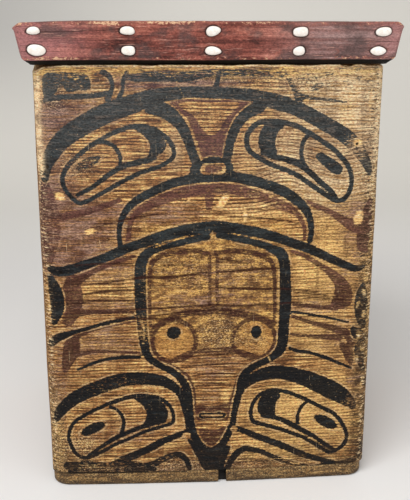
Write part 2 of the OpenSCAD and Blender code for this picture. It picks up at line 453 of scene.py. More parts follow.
def oval(x, z, length, width, tilt=0.0):
    """Distance from an oval, tilted by this many degrees."""
    u, v = turned(paint_x - x, paint_z - z, tilt)
    return (np.hypot(u / (length / 2), v / (width / 2)) - 1) * min(length, width) / 2


def join(*shapes):
    return np.minimum.reduce(shapes)


def cut(shape, *holes):
    return np.maximum.reduce([shape] + [-hole for hole in holes])


# Lines round the mouth's slit and round the lower eyes
MOUTH_SLIT = [(-11, 95.5), (2, 96), (16, 95.5), (15.5, 91), (2, 90.5), (-10.5, 91)]
SLIT_LINE, RING_LINE = 2.8, 5.0


def upper_black():
    """Formlines of the upper face: brow arch, nose, bridge and cheek."""
    arch = stroke((-186, 386, 9), (-183, 405, 15), (-166, 429, 18), (-140, 447.5, 20), (-112, 461, 20.5),
                  (-84, 469.5, 20), (-56, 477, 16), (-28, 480.3, 13), (2, 479.5, 13), (30, 478.5, 13),
                  (50, 475.5, 14), (70, 469.5, 17), (90, 464.5, 17.5), (110, 455, 17), (130, 444.5, 17),
                  (150, 432.5, 17.5), (164, 421, 16), (174, 408, 13), (181, 396, 10), (184, 387, 5))
    nose = join(
        stroke((-66, 466, 17), (-48, 459, 16), (-35, 446, 13), (-26, 430, 11), (-20, 414, 9.5),
               (-16, 402, 10)),
        stroke((54, 465, 15), (38, 455, 12.5), (29, 444, 11.5), (24, 433, 10.5), (20.5, 422, 10),
               (17, 403, 10)))
    bridge = join(
        stroke((-16, 396, 14), (2, 395, 27), (18, 396, 14)),
        area((-19.5, 404), (-20, 397), (-25, 391), (-38, 386), (-20, 382), (-8, 386), (-8, 402)),
        area((21, 404), (21.5, 397), (25.5, 392.5), (41, 385.5), (24, 382), (12, 386), (12, 402)))
    cheek = stroke((-104, 306, 6), (-105, 320, 5.5), (-102, 337, 6.5), (-93, 354, 8.5), (-77, 367, 10.5),
                   (-55, 377.5, 11), (-30, 383.5, 11), (0, 385.5, 9.5), (25, 385.5, 11), (40, 383, 12.5),
                   (60, 377.5, 12), (80, 370, 12), (92, 362.5, 11.5), (104, 353, 10.5), (112, 343, 9),
                   (116, 332, 7.5), (117, 320, 6.5), (115.5, 309, 6.5))
    return join(arch, nose, bridge, cheek)


def lower_black():
    """Formlines of the lower face: its own arch, the shield, the point and the brows."""
    second = stroke((-184, 281, 8), (-175, 278.5, 11), (-158, 281, 12), (-133, 289.5, 11),
                    (-108, 299.5, 11), (-82, 309.5, 11), (-55, 318.5, 12), (-28, 324.5, 13),
                    (0, 327.5, 13.5), (20, 327, 13), (40, 324, 13), (60, 319, 12.5), (80, 312.5, 12),
                    (95, 306.5, 11.5), (110, 301.5, 11), (125, 295, 10.5), (140, 288, 9.5), (155, 281, 9),
                    (168, 275, 8.5), (177, 273.5, 6), (183, 277, 3.5))
    shield = join(
        stroke((-4, 316.5, 8), (-30, 312, 8), (-55, 306.5, 8.5), (-73, 299, 11), (-80.5, 287, 13),
               (-82, 265, 13.5), (-82, 240, 13), (-81, 215, 12), (-79, 192, 11), (-74, 173, 9.5),
               (-60, 161, 8), (-45, 152.5, 8.5), (-33, 141, 9), (-27, 125, 10), (-25, 105, 10),
               (-23.5, 85, 8.5), (-19.5, 65, 9), (-10, 49, 11), (3, 40, 16)),
        stroke((9, 317.5, 7), (30, 314, 8), (50, 308.5, 8), (68, 302, 9), (82, 294, 13), (87.5, 280, 13),
               (88.7, 260, 13.5), (89, 230, 13.5), (88.5, 205, 13), (87.5, 190, 13), (84, 176, 12),
               (76, 168, 9.5), (66, 162, 8.5), (55, 156.5, 8), (46, 150.5, 8.5), (39, 141, 9),
               (35.5, 126, 8), (32, 110, 7.5), (28.5, 95, 7), (26.5, 82, 7), (21, 66, 9), (13, 51, 11),
               (3, 42, 14)))
    vee = area((-31, 67), (-20, 58), (3, 49), (24, 50), (20, 32), (14, 13), (0, 12), (-9, 22), (-20, 45))
    brows = join(
        stroke((-187, 92, 7), (-180, 105, 13), (-163, 121, 16.5), (-138, 133, 17.5), (-110, 142, 18),
               (-85, 145, 17), (-62, 142, 15), (-45, 134, 12), (-35, 122, 9), (-30, 105, 8), (-27, 88, 7.5),
               (-26, 74, 8)),
        stroke((27, 76, 7), (30, 106, 7), (35, 122, 8.5), (43, 134, 11), (55, 142, 14), (70, 146.5, 17),
               (85, 146.8, 17.5), (100, 143, 18.5), (115, 138, 20.5), (130, 131, 22), (145, 123, 23),
               (157, 115.5, 21.5), (168, 107, 17), (177, 97, 8)))
    return join(second, shield, vee, brows)


def eye_sockets():
    """Lines under the lower eyes and the smears along the foot."""
    return join(
        stroke((-22, 73, 9), (-40, 67.5, 8), (-58, 60, 9), (-73, 52.5, 9.5), (-88, 45.5, 10),
               (-104, 37.5, 11), (-118, 30, 11), (-133, 22, 10), (-149, 15, 8)),
        stroke((24, 76, 8), (38, 71, 8), (50, 66, 8.5), (70, 57.5, 9), (90, 48.5, 9), (110, 38.5, 8.5),
               (120, 34, 8), (142, 26, 7), (156, 21, 6)),
        stroke((-25, 21, 6), (-29, 33, 7), (-39, 41, 8), (-54, 38.5, 8), (-68, 32, 9), (-84, 26, 9),
               (-100, 20, 7)),
        stroke((-172, 22, 8), (-158, 20, 9), (-130, 20, 14), (-104, 19, 13), (-80, 17, 9)),
        stroke((20, 17, 7), (26, 30, 8), (33, 40, 9), (42, 45.5, 8), (52, 44.5, 7.5), (64, 40.5, 7),
               (84, 31, 6), (101, 24, 6), (122, 18, 5)),
        stroke((191, 44, 4), (187, 28, 7), (172, 21, 7), (150, 19, 6), (128, 16, 5)),
        stroke((-176, 30, 10), (-150, 29, 16), (-120, 26, 12), (-96, 30, 10), (-70, 24, 8)))


def side_lines():
    """Thin lines and edge marks at both sides."""
    return join(
        stroke((-188, 190, 9), (-180, 197, 10), (-158, 205, 5), (-120, 216, 4.5), (-90, 221, 4)),
        stroke((-158, 157, 3), (-133, 167.5, 4), (-108, 172.5, 4.5), (-84, 173, 4)),
        stroke((-185, 272, 7), (-180, 255, 16), (-179, 235, 16), (-184, 216, 7)),
        stroke((95, 177, 4), (105, 173.5, 4.5), (120, 170.5, 4.5), (135, 165.5, 4.5), (150, 158.5, 4),
               (172, 147.5, 3)),
        stroke((97, 222, 3), (115, 219, 3.5), (130, 215.5, 3.5), (150, 211, 3), (166, 208, 2.5)),
        stroke((182, 253, 6), (181, 240, 15), (181, 226, 17), (182, 212, 13), (185, 201, 6)),
        stroke((172, 199, 6), (178, 192, 13), (186, 186, 8)),
        stroke((184, 184, 8), (181, 172, 12), (183, 160, 10), (187, 146, 6)))


def top_marks():
    """Worn marks along the upper edge."""
    return join(
        area((-183, 499), (-170, 502), (-150, 502), (-136, 501), (-134, 494), (-148, 489), (-164, 487),
             (-170, 480), (-178, 472), (-184, 478)),
        area((-161, 499), (-147, 499.5), (-134, 498), (-132.5, 484), (-146, 482.5), (-159, 482)),
        stroke((-183, 472, 5), (-165, 475, 6), (-145, 476, 6), (-125, 477.5, 5.5), (-113, 481, 5)),
        stroke((-118, 503, 6), (-111, 498, 5), (-107.5, 489, 4.5), (-109, 482, 5), (-113, 474, 7)),
        stroke((-92, 503, 5), (-96, 494, 4), (-96, 485, 4), (-100, 476, 6)),
        stroke((80, 504, 5), (86, 495, 5), (92, 485, 6), (98, 474, 10)),
        stroke((100, 476, 6), (116, 473.5, 4), (136, 471, 3), (152, 469, 2)),
        stroke((5, 487, 6), (7, 495, 5), (6, 503, 4)),
        stroke((-95, 497, 5), (-75, 497, 10), (-44, 498, 12), (-25, 498, 11), (0, 501, 8), (40, 501, 7),
               (84, 499, 7)),
        stroke((96, 496, 4), (112, 497, 6), (134, 500, 5)), oval(118, 486, 16, 7, 20))


def upper_left_eye():
    return join(
        ring(5.2, (-150, 357), (-163, 369), (-168.5, 384), (-166, 397), (-157.5, 410), (-140, 425),
             (-120, 437.5), (-100, 446), (-80, 448.5), (-62.5, 445), (-48, 435), (-40, 424), (-38, 415),
             (-42, 408), (-55, 401), (-77.5, 394), (-100, 382.5), (-122.5, 370), (-140, 359.5)),
        area((-90, 445), (-74, 445.5), (-60, 440), (-51, 429.5), (-50, 424), (-54, 418), (-63, 414),
             (-72, 411), (-70, 418), (-68, 426), (-72, 434), (-80, 440)),
        stroke((-63, 412, 4), (-72, 410, 6.5), (-88, 406, 6.5), (-102, 401, 6.5), (-116, 393, 6),
               (-131, 382, 5.5), (-150, 369, 4.5)),
        stroke((-128, 430, 3), (-118, 430, 4.5), (-108, 424, 5), (-102.5, 413, 4.5), (-103, 402, 4)),
        oval(-138, 407, 30, 11, 26))


def upper_right_eye():
    return join(
        ring(6, (36.5, 425), (37.5, 433), (42, 441.5), (50, 448.5), (60, 451.5), (75, 451), (90, 447.5),
             (100, 444), (120, 432.5), (140, 419), (150, 410), (160, 398.5), (165, 387), (166, 376),
             (163, 365), (157, 357), (150, 353.5), (143, 353.5), (135, 358), (115, 371), (100, 381.5),
             (85, 389.5), (70, 396), (55, 403.5), (44, 410), (38, 417)),
        area((62, 448), (56, 440), (53, 432), (52.5, 424), (55, 417), (61, 412), (72, 409), (74, 415),
             (72, 422), (72.5, 430), (76, 438), (82, 442), (76, 448)),
        stroke((58, 414, 6), (70, 409.5, 6.5), (80, 407, 7), (90, 403, 7.5), (100, 399, 8), (110, 391.5, 7),
               (120, 383, 7), (130, 374.5, 6.5), (140, 366, 6), (146, 357, 5)),
        stroke((114, 434, 4), (107, 428, 5), (103, 420, 5), (102, 410, 5), (104, 402, 5), (108, 396, 4)),
        area((118.5, 407), (122, 411.5), (128, 411), (135, 407), (143, 402), (150, 397), (151.5, 391.5),
             (147, 386.5), (140, 388), (133, 393), (125, 400)))


def lower_left_eye():
    return join(
        ring(4.8, (-173, 58), (-175.5, 72), (-168, 89), (-150, 102.5), (-125, 115), (-100, 123),
             (-82.5, 125), (-65, 122.5), (-52.5, 115), (-45, 105), (-42, 92), (-45, 83), (-60, 77.5),
             (-87.5, 69.5), (-110, 59.5), (-130, 47.5), (-145, 40), (-157.5, 39), (-167, 46)),
        area((-92, 119), (-75, 120), (-61, 115), (-54, 106), (-51.5, 96), (-55, 87.5), (-68, 84), (-82, 83),
             (-80, 90), (-78.5, 98), (-80.5, 106), (-86, 113)),
        stroke((-56, 88, 5), (-70, 84.5, 6), (-90, 79.5, 6), (-106, 73.5, 6), (-119, 66, 5.5),
               (-131, 57, 5), (-150, 43, 4)),
        stroke((-122, 109, 4), (-113.5, 105, 4.5), (-108, 97, 4.5), (-106, 87, 4.5), (-109, 75, 4.5)),
        oval(-143, 80, 33, 13, 27))


def lower_right_eye():
    return join(
        ring(5.2, (46.5, 94), (48, 104), (52, 113), (58, 120), (66, 124.5), (76, 126), (88, 124.5),
             (100, 120.5), (124, 109), (148, 95.5), (158, 88), (166, 78), (172, 66), (174, 57), (171, 47),
             (165, 40.5), (157, 35.5), (150, 34.5), (144, 37), (125, 50), (113, 57), (100, 63), (85, 69.5),
             (70, 74.5), (58, 78), (50, 82)),
        area((70, 123), (62, 116), (58, 107), (57.5, 99), (61, 92), (70, 87), (82, 85), (80.5, 92),
             (80, 100), (81.5, 108), (86, 115), (82, 121)),
        stroke((64, 91, 6), (78, 87.5, 6), (90, 83, 6), (100, 77.5, 7), (110, 71.5, 6.5), (120, 65, 6),
               (130, 59, 5), (140, 51, 5.5), (150, 44, 5), (157, 39, 4)),
        stroke((122, 107, 4), (115, 102, 4.5), (110.5, 94, 4.5), (108.5, 86, 4.5), (109, 77, 4.5)),
        oval(143.5, 78.5, 34, 14, -31))


def eyes():
    """The four ovoid eyes, each a ring with a heavy crescent, a lower lid, an eyelid arc and a pupil."""
    return join(upper_left_eye(), upper_right_eye(), lower_left_eye(), lower_right_eye())


def black_paint():
    """All that is black on the front."""
    bridge_hole = area((-11, 391), (-10, 400), (2, 400.8), (14, 400.5), (15, 390.5), (2, 389.5))
    dots = join(oval(-29, 66.5, 10, 9), oval(28, 73, 9, 9))
    slivers = join(stroke((-66, 305, 1.2), (-40, 314.5, 1.8), (-26, 318.5, 1)),
                   stroke((25, 320.5, 1), (50, 314, 1.8), (75, 306.5, 1.8), (95, 300.5, 1.2)),
                   oval(2, 319, 4, 8))
    pupils = join(oval(-43, 200.5, 17, 15.5), oval(55, 199.5, 13, 17))
    slit = np.abs(area(*MOUTH_SLIT)) - SLIT_LINE / 2
    lines = cut(join(upper_black(), lower_black()), bridge_hole, dots, slivers)
    return join(lines, cut(eye_sockets(), dots), side_lines(), top_marks(), eyes(), pupils, slit)


def upper_red():
    """Red of the upper face: nose bands, bridge, and the lunate of the cheek."""
    nose = area((-56, 473), (0, 473.8), (46, 473), (27, 455), (17, 430), (13, 409), (2, 406.5), (-10, 409),
                (-16, 428), (-30, 455))
    nose_wood = area((-36, 468), (0, 469), (31, 468), (17, 452), (9, 437), (1, 433), (-7, 437), (-18, 453))
    bridge = area((-6.5, 392.5), (-6.5, 397.5), (2, 398), (11.5, 397.5), (11.5, 392), (2, 391.5))
    lunate = area((-98, 309), (-96.5, 322), (-93, 338), (-84, 352), (-70, 363), (-50, 371.5), (-25, 377),
                  (2, 379), (30, 377), (55, 369.5), (76, 361.5), (94, 351.5), (106, 340), (111, 326),
                  (110.5, 311), (107, 310), (107, 322), (102, 334), (93, 342), (78, 348), (60, 356),
                  (40, 362), (20, 366), (0, 365.5), (-30, 362), (-55, 355), (-75, 347), (-87, 337),
                  (-91, 324), (-92, 309))
    bar = area((-7, 368), (3, 368), (2, 356), (1, 347), (-5, 347), (-6, 356))
    return join(cut(nose, nose_wood), bridge, lunate, bar)


def side_red():
    """The U forms at both sides."""
    left_outer = join(
        stroke((-186, 384, 8), (-183, 360, 17), (-181, 335, 22), (-182, 312, 18), (-184, 292, 9)),
        stroke((-180, 338, 14), (-160, 344, 9), (-138, 350, 8), (-104, 363, 6)))
    right_outer = join(
        stroke((106, 357, 4), (122, 350, 5.5), (140, 341, 7), (157, 331, 11), (172, 326, 18),
               (182, 332, 14)),
        stroke((186, 356, 6), (182, 340, 14), (180, 318, 18), (179, 302, 14), (184, 294, 5)))
    left_middle = join(
        stroke((-160, 270, 12), (-161, 252, 24), (-163, 234, 23), (-168, 218, 14)),
        stroke((-156, 266, 12), (-138, 276, 7), (-112, 288, 5.5), (-88, 295, 4.5)),
        stroke((-160, 228, 12), (-140, 229, 6), (-112, 228.5, 4.5), (-88, 227, 4)))
    right_middle = join(
        area((141, 277), (151, 270), (160, 262), (167, 252), (169.5, 242), (168, 231), (160, 225.5),
             (145, 224.5), (143.5, 234), (147, 245), (147, 255), (143, 266)),
        stroke((95, 297, 4), (110, 291, 5), (125, 282.5, 6), (138, 274, 8), (150, 262, 12)),
        stroke((97, 231.5, 4), (115, 229, 5), (130, 227, 5.5), (150, 225, 6)))
    left_small = join(
        stroke((-164, 199, 11), (-164, 184, 20), (-169, 168, 14), (-173, 156, 6)),
        stroke((-158, 200, 8), (-138, 208, 5), (-112, 214, 4.5), (-87, 218, 4)),
        stroke((-160, 176, 8), (-138, 180, 4.5), (-112, 180, 4), (-84, 178, 4)))
    right_small = join(
        stroke((97, 217.5, 4), (115, 210.5, 5), (132, 204, 6), (150, 199, 9), (166, 192, 12),
               (171, 182, 11), (168, 160, 8)),
        stroke((97, 194, 3), (118, 191.5, 4), (136, 189.5, 6), (156, 188, 9)),
        stroke((160, 178, 8), (168, 165, 11), (172, 154, 6)))
    return join(left_outer, right_outer, left_middle, right_middle, left_small, right_small)


def lower_red():
    """Red of the lower face: outline, brow, eyes, jaw, mouth and chin."""
    outline = join(
        stroke((-70, 190, 3.5), (-71, 215, 4), (-71.5, 245, 4.5), (-71, 272, 5), (-68, 287, 6),
               (-58, 295, 6.5), (-40, 299, 6.5), (-20, 300.5, 6), (-7, 297, 5)),
        stroke((8, 297, 5), (24, 299.5, 6), (42, 297.5, 6.5), (58, 293, 6.5), (69, 287, 6), (74.5, 276, 5),
               (76.5, 250, 4.5), (77, 225, 4), (76, 205, 3.5)),
        stroke((-3, 298, 5), (-1, 288, 4), (-1, 262, 4), (-1.5, 234, 4)),
        stroke((6, 298, 5), (8, 288, 4), (7.5, 262, 4), (8, 234, 4)))
    brow = stroke((-69, 207, 4), (-56, 214, 7), (-38, 221, 8.5), (-15, 225, 8.5), (8, 226, 8.5),
                  (32, 223, 8.5), (56, 218, 7.5), (78, 210, 4))
    eye_rings = join(*(np.abs(oval(x, 190.5, 52, 50)) - RING_LINE / 2 for x in (-43, 52)))
    under_eyes = stroke((-44, 168, 4), (-26, 175, 5.5), (-8, 177.5, 6), (17, 177.5, 6), (36, 174, 5.5),
                        (60, 166, 4))
    jaw = join(stroke((-62, 169, 4), (-44, 159, 4), (-28, 147, 4.5), (-20.5, 128, 4.5), (-18, 106, 4.5)),
               stroke((70, 172, 4), (52, 160, 4), (37, 147, 4.5), (30, 128, 4.5), (24, 108, 4.5)))
    mouth = area((-17, 107), (2, 105), (23, 108), (22, 90), (18, 86), (2, 87.5), (-13, 86), (-16, 92))
    chin = area((-14, 75), (2, 73), (19, 76), (17, 63), (11, 54), (3, 51.5), (-6, 54), (-12, 63))
    return join(outline, brow, eye_rings, under_eyes, jaw, cut(mouth, area(*MOUTH_SLIT)), chin)


def red_paint():
    """All that is red on the front."""
    faded = join(stroke((-104, 500, 5), (-80, 497, 9), (-62, 488, 7), (-44, 482, 4)),
                 stroke((74, 498, 4), (86, 486, 6)))
    return join(upper_red(), side_red(), lower_red(), faded)


# How the front has aged. Each worn patch: x, height, half width, half height, how worn
WORN_PATCHES = [
    (8, 195, 34, 26, 0.3), (166, 418, 20, 24, 0.6), (-158, 492, 42, 16, 0.3), (122, 488, 78, 24, 0.48),
    (0, 503, 210, 11, 0.44), (-79, 207, 10, 22, 0.45), (172, 104, 16, 16, 0.4), (184, 225, 14, 56, 0.3),
    (184, 168, 16, 34, 0.4), (-130, 20, 70, 12, 0.45), (-140, 33, 60, 13, 0.34), (100, 24, 34, 16, 0.5),
    (176, 26, 30, 18, 0.4), (-140, 404, 30, 18, 0.5), (-10, 258, 70, 45, 0.2), (-184, 230, 10, 60, 0.15),
    (-120, 138, 60, 20, 0.25), (-82, 250, 14, 60, 0.2), (-178, 330, 22, 60, 0.25), (40, 352, 70, 22, 0.25),
    (-60, 36, 36, 16, 0.3),
]

# Thin red wash, handled dirt, and places that stayed fair
WASH_PATCHES = [
    (-174, 335, 48, 84, 0.9), (-135, 315, 60, 40, 0.5), (-150, 460, 62, 20, 0.8), (-178, 440, 22, 42, 0.6),
    (-60, 494, 60, 16, 1.0), (0, 492, 44, 14, 0.8), (-55, 345, 62, 20, 0.55), (-130, 352, 52, 16, 0.6),
    (-120, 275, 52, 20, 0.4), (-125, 236, 52, 13, 0.5), (-140, 190, 62, 36, 0.5), (-184, 130, 22, 50, 0.5),
    (172, 320, 30, 60, 0.5), (150, 262, 30, 26, 0.25), (150, 195, 50, 36, 0.3), (126, 228, 46, 10, 0.5),
    (150, 345, 50, 15, 0.3), (0, 238, 92, 17, 0.5), (10, 272, 82, 20, 0.32), (5, 160, 52, 24, 0.4),
    (0, 118, 18, 42, 0.3), (182, 130, 20, 50, 0.4), (-20, 20, 120, 16, 0.4), (-100, 76, 80, 24, 0.35),
]
DIRT_PATCHES = [
    (12, 200, 38, 36, 0.9), (20, 497, 66, 10, 0.8), (-174, 478, 20, 30, 1.0), (-150, 404, 28, 24, 0.7),
    (-8, 452, 34, 16, 0.4), (184, 300, 14, 180, 0.7), (-30, 274, 50, 36, 0.5), (46, 278, 40, 30, 0.45),
    (0, 24, 210, 14, 0.8), (-188, 330, 12, 130, 0.5), (110, 492, 44, 14, 0.6), (-60, 20, 60, 14, 0.5),
    (-120, 250, 40, 14, 0.3), (-152, 62, 26, 24, 0.7), (58, 186, 22, 22, 0.5), (-164, 48, 30, 26, 0.5),
    (-186, 70, 15, 90, 0.9), (-150, 24, 40, 14, 0.6),
]
FAIR_PATCHES = [
    (150, 480, 90, 50, 1.0), (124, 400, 96, 66, 0.8), (150, 350, 50, 40, 0.6), (150, 290, 44, 60, 0.6),
    (140, 235, 50, 40, 0.6), (140, 180, 50, 30, 0.5), (190, 250, 14, 180, 0.8), (124, 272, 44, 44, 0.65),
    (-30, 90, 14, 30, 0.1), (124, 200, 44, 34, 0.55), (-140, 485, 30, 8, 0.6), (-40, 420, 12, 30, 0.5),
    (90, 470, 40, 14, 0.4), (-100, 272, 20, 10, 0.6), (40, 345, 40, 14, 0.5), (60, 250, 30, 24, 0.35),
    (-40, 190, 24, 22, 0.3), (112, 84, 100, 62, 0.9), (150, 130, 40, 24, 0.5), (185, 440, 20, 70, 0.5),
    (90, 40, 60, 16, 0.4), (-188, 60, 12, 90, 0.9), (-125, 255, 40, 30, 0.4), (-130, 190, 40, 24, 0.35),
]


def pale_patches():
    """Places where the surface has come away and bright wood shows."""
    return join(
        oval(-169, 365.5, 9, 12, 70), oval(168, 423, 11, 8), oval(13, 357, 19, 9, 55),
        oval(172, 336, 18, 11, 75), oval(-138, 325, 13, 7, 15), oval(184, 244, 5, 11, 20),
        oval(177, 230, 4, 9, -20), oval(185, 216, 6, 11, 10), oval(180, 190, 7, 8),
        oval(185, 172, 6, 10, 25), oval(179, 158, 5, 9), oval(186, 262, 6, 14), oval(187, 130, 6, 16),
        oval(40, 341, 6, 12), oval(70, 362, 5, 3), oval(-25, 359, 8, 3, 70),
        stroke((-39, 495, 0.4), (-30, 476, 0.2), (-22, 460, -0.4)),
        stroke((-46, 250, -1), (-60, 227, -0.8)),
        stroke((57, 251, -1), (57, 236, -0.6)), stroke((36, 268, -1), (36.5, 234, -1)),
        stroke((65, 175, 0.6), (72, 163, 1.6)),
        stroke((12, 262, 0), (12, 256, 1)), stroke((-84, 222, 1.2), (-78, 205, 1), (-80, 190, 1.4)),
        stroke((108, 276, 3), (112, 270, 2)), stroke((180, 386, 1.6), (187, 380, 1)))


def cracks():
    """Dark lines along the grain."""
    return join(
        stroke((8, 273.5, 1), (30, 274.5, 2.2), (58, 276.5, 2.6), (81, 277, 1.4)),
        stroke((-92, 269, 1.2), (-78, 270, 2.8), (-50, 269, 2.8), (-25, 271, 2), (-4, 272.5, 1)),
        stroke((6, 254.5, 1.4), (30, 254, 2.6), (60, 252.5, 2.8), (84, 251.5, 1.8), (128, 246, 0.8)),
        stroke((-108, 230.5, 1), (-60, 231.5, 1.8), (0, 232.5, 2), (60, 233, 2), (108, 233.5, 1)),
        stroke((-70, 222, 1), (-40, 225, 1.6), (10, 227, 1.6), (40, 226.5, 1)),
        stroke((-106, 220, 1.4), (-75, 219, 2), (-36, 217.5, 1)),
        stroke((12, 289, 0.8), (30, 286, 1.6), (44, 283, 0.8)),
        stroke((-64, 282, 0.8), (-40, 283.5, 1.6), (-18, 283, 0.8)),
        stroke((-156, 285, 0.8), (-112, 287, 1.6), (-90, 286, 1)),
        stroke((-150, 250, 1), (-118, 254.5, 2.4), (-88, 255, 1)),
        stroke((-160, 240, 1), (-126, 243, 1.8), (-90, 241, 1)),
        stroke((97, 240, 1), (130, 238, 1.6), (158, 236, 1)),
        stroke((-60, 343, 1), (-92, 339, 1.8), (-130, 331, 0.8)),
        stroke((100, 246, 0.8), (128, 243, 1.4), (142, 240, 0.8)),
        stroke((-100, 268, 1), (-120, 264, 1.6), (-140, 262, 0.8)),
        stroke((20, 340, 1), (60, 338, 1.4), (104, 330, 0.8)),
        stroke((-34, 171, 0.8), (10, 172, 1.6), (58, 171, 0.8)),
        stroke((-30, 158, 0.8), (8, 159.5, 1.6), (44, 158, 0.8)),
        stroke((-22, 146, 0.8), (6, 147, 1.4), (34, 146, 0.8)),
        stroke((-18, 133, 0.8), (4, 134, 1.4), (28, 133, 0.8)))


def small_holes():
    return join(oval(-183, 400, 4, 4), oval(-185, 383, 3, 3), oval(-172, 277, 3.4, 3.4),
                oval(167, 421.5, 3.5, 3), oval(96, 113.5, 2.4, 2.4), oval(-187, 470, 3, 3),
                oval(-134, 425.5, 1.8, 1.8))


# The bent plank: a fine grid on the painted front, and a coarser strip for everything else
REST_STEP = 7
rest_rows, rest_in = wall_rows(REST_STEP)
WALL_COLUMNS = 44
LIP_X = HALF_W - LIP_T
# Chips along the front's top edge: x, half length, depth
TOP_CHIPS = [(152, 7, 2.6), (104, 20, 1.2), (-70, 12, 0.9), (20, 9, 0.7), (-176, 8, 1.4), (178, 9, 1.6)]
# How far below the top the chips and the worn corners reach
CHIP_REACH, CORNER_REACH = 9, 16
# Worn tops of the front corners: place in plan, reach along x and y, drop
WORN_CORNERS = [((-HALF_W, -HALF_D), (18, 70), 5.5), ((HALF_W, -HALF_D), (12, 30), 2.0)]
# Warp of the walls, slow and fine, each with its size, and the share of it inside
WARP, WARP_SIZE = 0.6, 95
RIPPLE, RIPPLE_SIZE = 0.3, 38
INSIDE_WARP = 0.5
# Relief of the weathered front
HOLE_DEPTH, BARE_DEPTH = 1.6, 0.35
RIDGE_H, RIDGE_SIZE, RIDGE_STRETCH = 0.14, 4.6, (0.03, 1, 1)
SMALL_CHIP, SMALL_CHIP_SIZE = 0.8, 17
# The texture's rectangles: front, right wall, back, left wall, inside, top edge, lower edge
WIDE_U, NARROW_U, LAST_U, FIRST = 0.772, 0.782, 0.996, 0.004
FRONT_CHART, RIGHT_CHART, BACK_CHART, LEFT_CHART, INSIDE_CHART, TOP_CHART, FOOT_CHART = range(7)
CHART_BOXES = [
    (FIRST, FIRST, WIDE_U, 0.966), (NARROW_U, FIRST, LAST_U, 0.3), (NARROW_U, 0.31, LAST_U, 0.6),
    (NARROW_U, 0.61, LAST_U, 0.9), (NARROW_U, 0.91, LAST_U, 0.965), (FIRST, 0.985, LAST_U, 0.997),
    (FIRST, 0.972, WIDE_U, 0.98),
]


def inner_quarter():
    """Inside of the walls, with its kerf, from the middle of the front to the middle of the right wall."""
    n = WALL_COLUMNS // 4
    chain = quarter(WALL_T, INNER_R, n, 4, n)
    middle = n + 2
    diagonal = np.array([1, -1]) / math.sqrt(2)
    across = np.array([1, 1]) / math.sqrt(2) * KERF_W / 2
    floor = np.array([HALF_W - WALL_T, -(HALF_D - WALL_T)]) + KERF_DEPTH * diagonal
    kerf = np.array([chain[middle] - across, floor - across, floor + across, chain[middle] + across])
    return np.concatenate([chain[:middle], kerf, chain[middle + 1:]])


def rest_columns():
    """Plan points of the rest of the plank: along the right wall, round the inside, back along the left."""
    centre, first, last = corner_arc(0, BEND_R)
    half_bend = on_circle(centre, BEND_R, np.linspace(first + CORNER_TURN, last, 5))[1:-1]
    n, bend_n, joint_n = WALL_COLUMNS // 2, 8, 5
    bent = quarter(0, BEND_R, n, bend_n, n)
    side = bent[n + bend_n:]
    lapped = quarter(0, JOINT_R, n, joint_n, n)[::-1] * (1, -1)
    lapped = lapped[lapped[:, 0] > LIP_X + 0.5]
    lip = np.array([[LIP_X, -front_edge_y(LIP_X, 0)], [LIP_X, HALF_D - WALL_T]])
    right = np.concatenate([half_bend, side, lapped[1:], lip[:1]])
    y = np.linspace(HALF_D - WALL_T - 1, 0, WALL_COLUMNS // 4, endpoint=False)
    x = np.linspace(0, HALF_W - WALL_T - INNER_R, WALL_COLUMNS // 4)[1:]
    end_x, end_y = LIP_X - SEAM_GAP, HALF_D - WALL_T + SEAM_GAP
    kerfed = inner_quarter()
    inside = np.concatenate([
        lip[1:],
        np.stack([side_edge_x(y, WALL_T), y], -1),
        kerfed[::-1],
        kerfed[1:] * (-1, 1),
        kerfed[-2::-1] * (-1, -1),
        np.stack([x, -front_edge_y(x, WALL_T)], -1),
        [[end_x, end_y]],
    ])
    back_x = np.linspace(end_x, 0, n, endpoint=False)
    left = np.concatenate([
        np.stack([back_x, -front_edge_y(back_x, 0)], -1),
        bent * (-1, -1),
        side[-2::-1] * (-1, 1),
        half_bend[::-1] * (-1, 1),
    ])
    return right, inside, left


def set_bake_map(obj, coordinates, charts):
    """Gives each chart of faces its own rectangle of the piece's texture, so the front gets the most room."""
    mesh = obj.data
    corner_vertex = np.empty(len(mesh.loops), int)
    mesh.loops.foreach_get("vertex_index", corner_vertex)
    corners = np.empty(len(mesh.polygons), int)
    mesh.polygons.foreach_get("loop_total", corners)
    chart = np.repeat(charts, corners)
    uv = np.zeros((len(corner_vertex), 2))
    for number, (u0, v0, u1, v1) in enumerate(CHART_BOXES):
        mine = chart == number
        spot = coordinates[number][corner_vertex[mine]]
        low, high = spot.min(0), spot.max(0)
        uv[mine] = (u0, v0) + (spot - low) / (high - low) * (u1 - u0, v1 - v0)
    mesh.uv_layers.new(name="OFBake").data.foreach_set("uv", uv.astype(np.float32).ravel())


def lay_wall(plan, normals, lengths, depths, rows, drawn_in):
    """Wall points with a slow warp, and the same points as length, height and depth in the plank."""
    z, along = np.meshgrid(rows, lengths, indexing="ij")
    wood = np.stack([along.ravel(), z.ravel(), np.tile(depths, len(rows))], 1)
    out = WARP * wander(wood, WARP_SIZE, 3) + RIPPLE * wander(wood, RIPPLE_SIZE, 4)
    out = out.reshape(z.shape) * np.where(depths > 0, INSIDE_WARP, 1.0) - drawn_in[:, None]
    place = plan[None] + out[..., None] * normals[None]
    return np.concatenate([place, z[..., None]], -1), wood


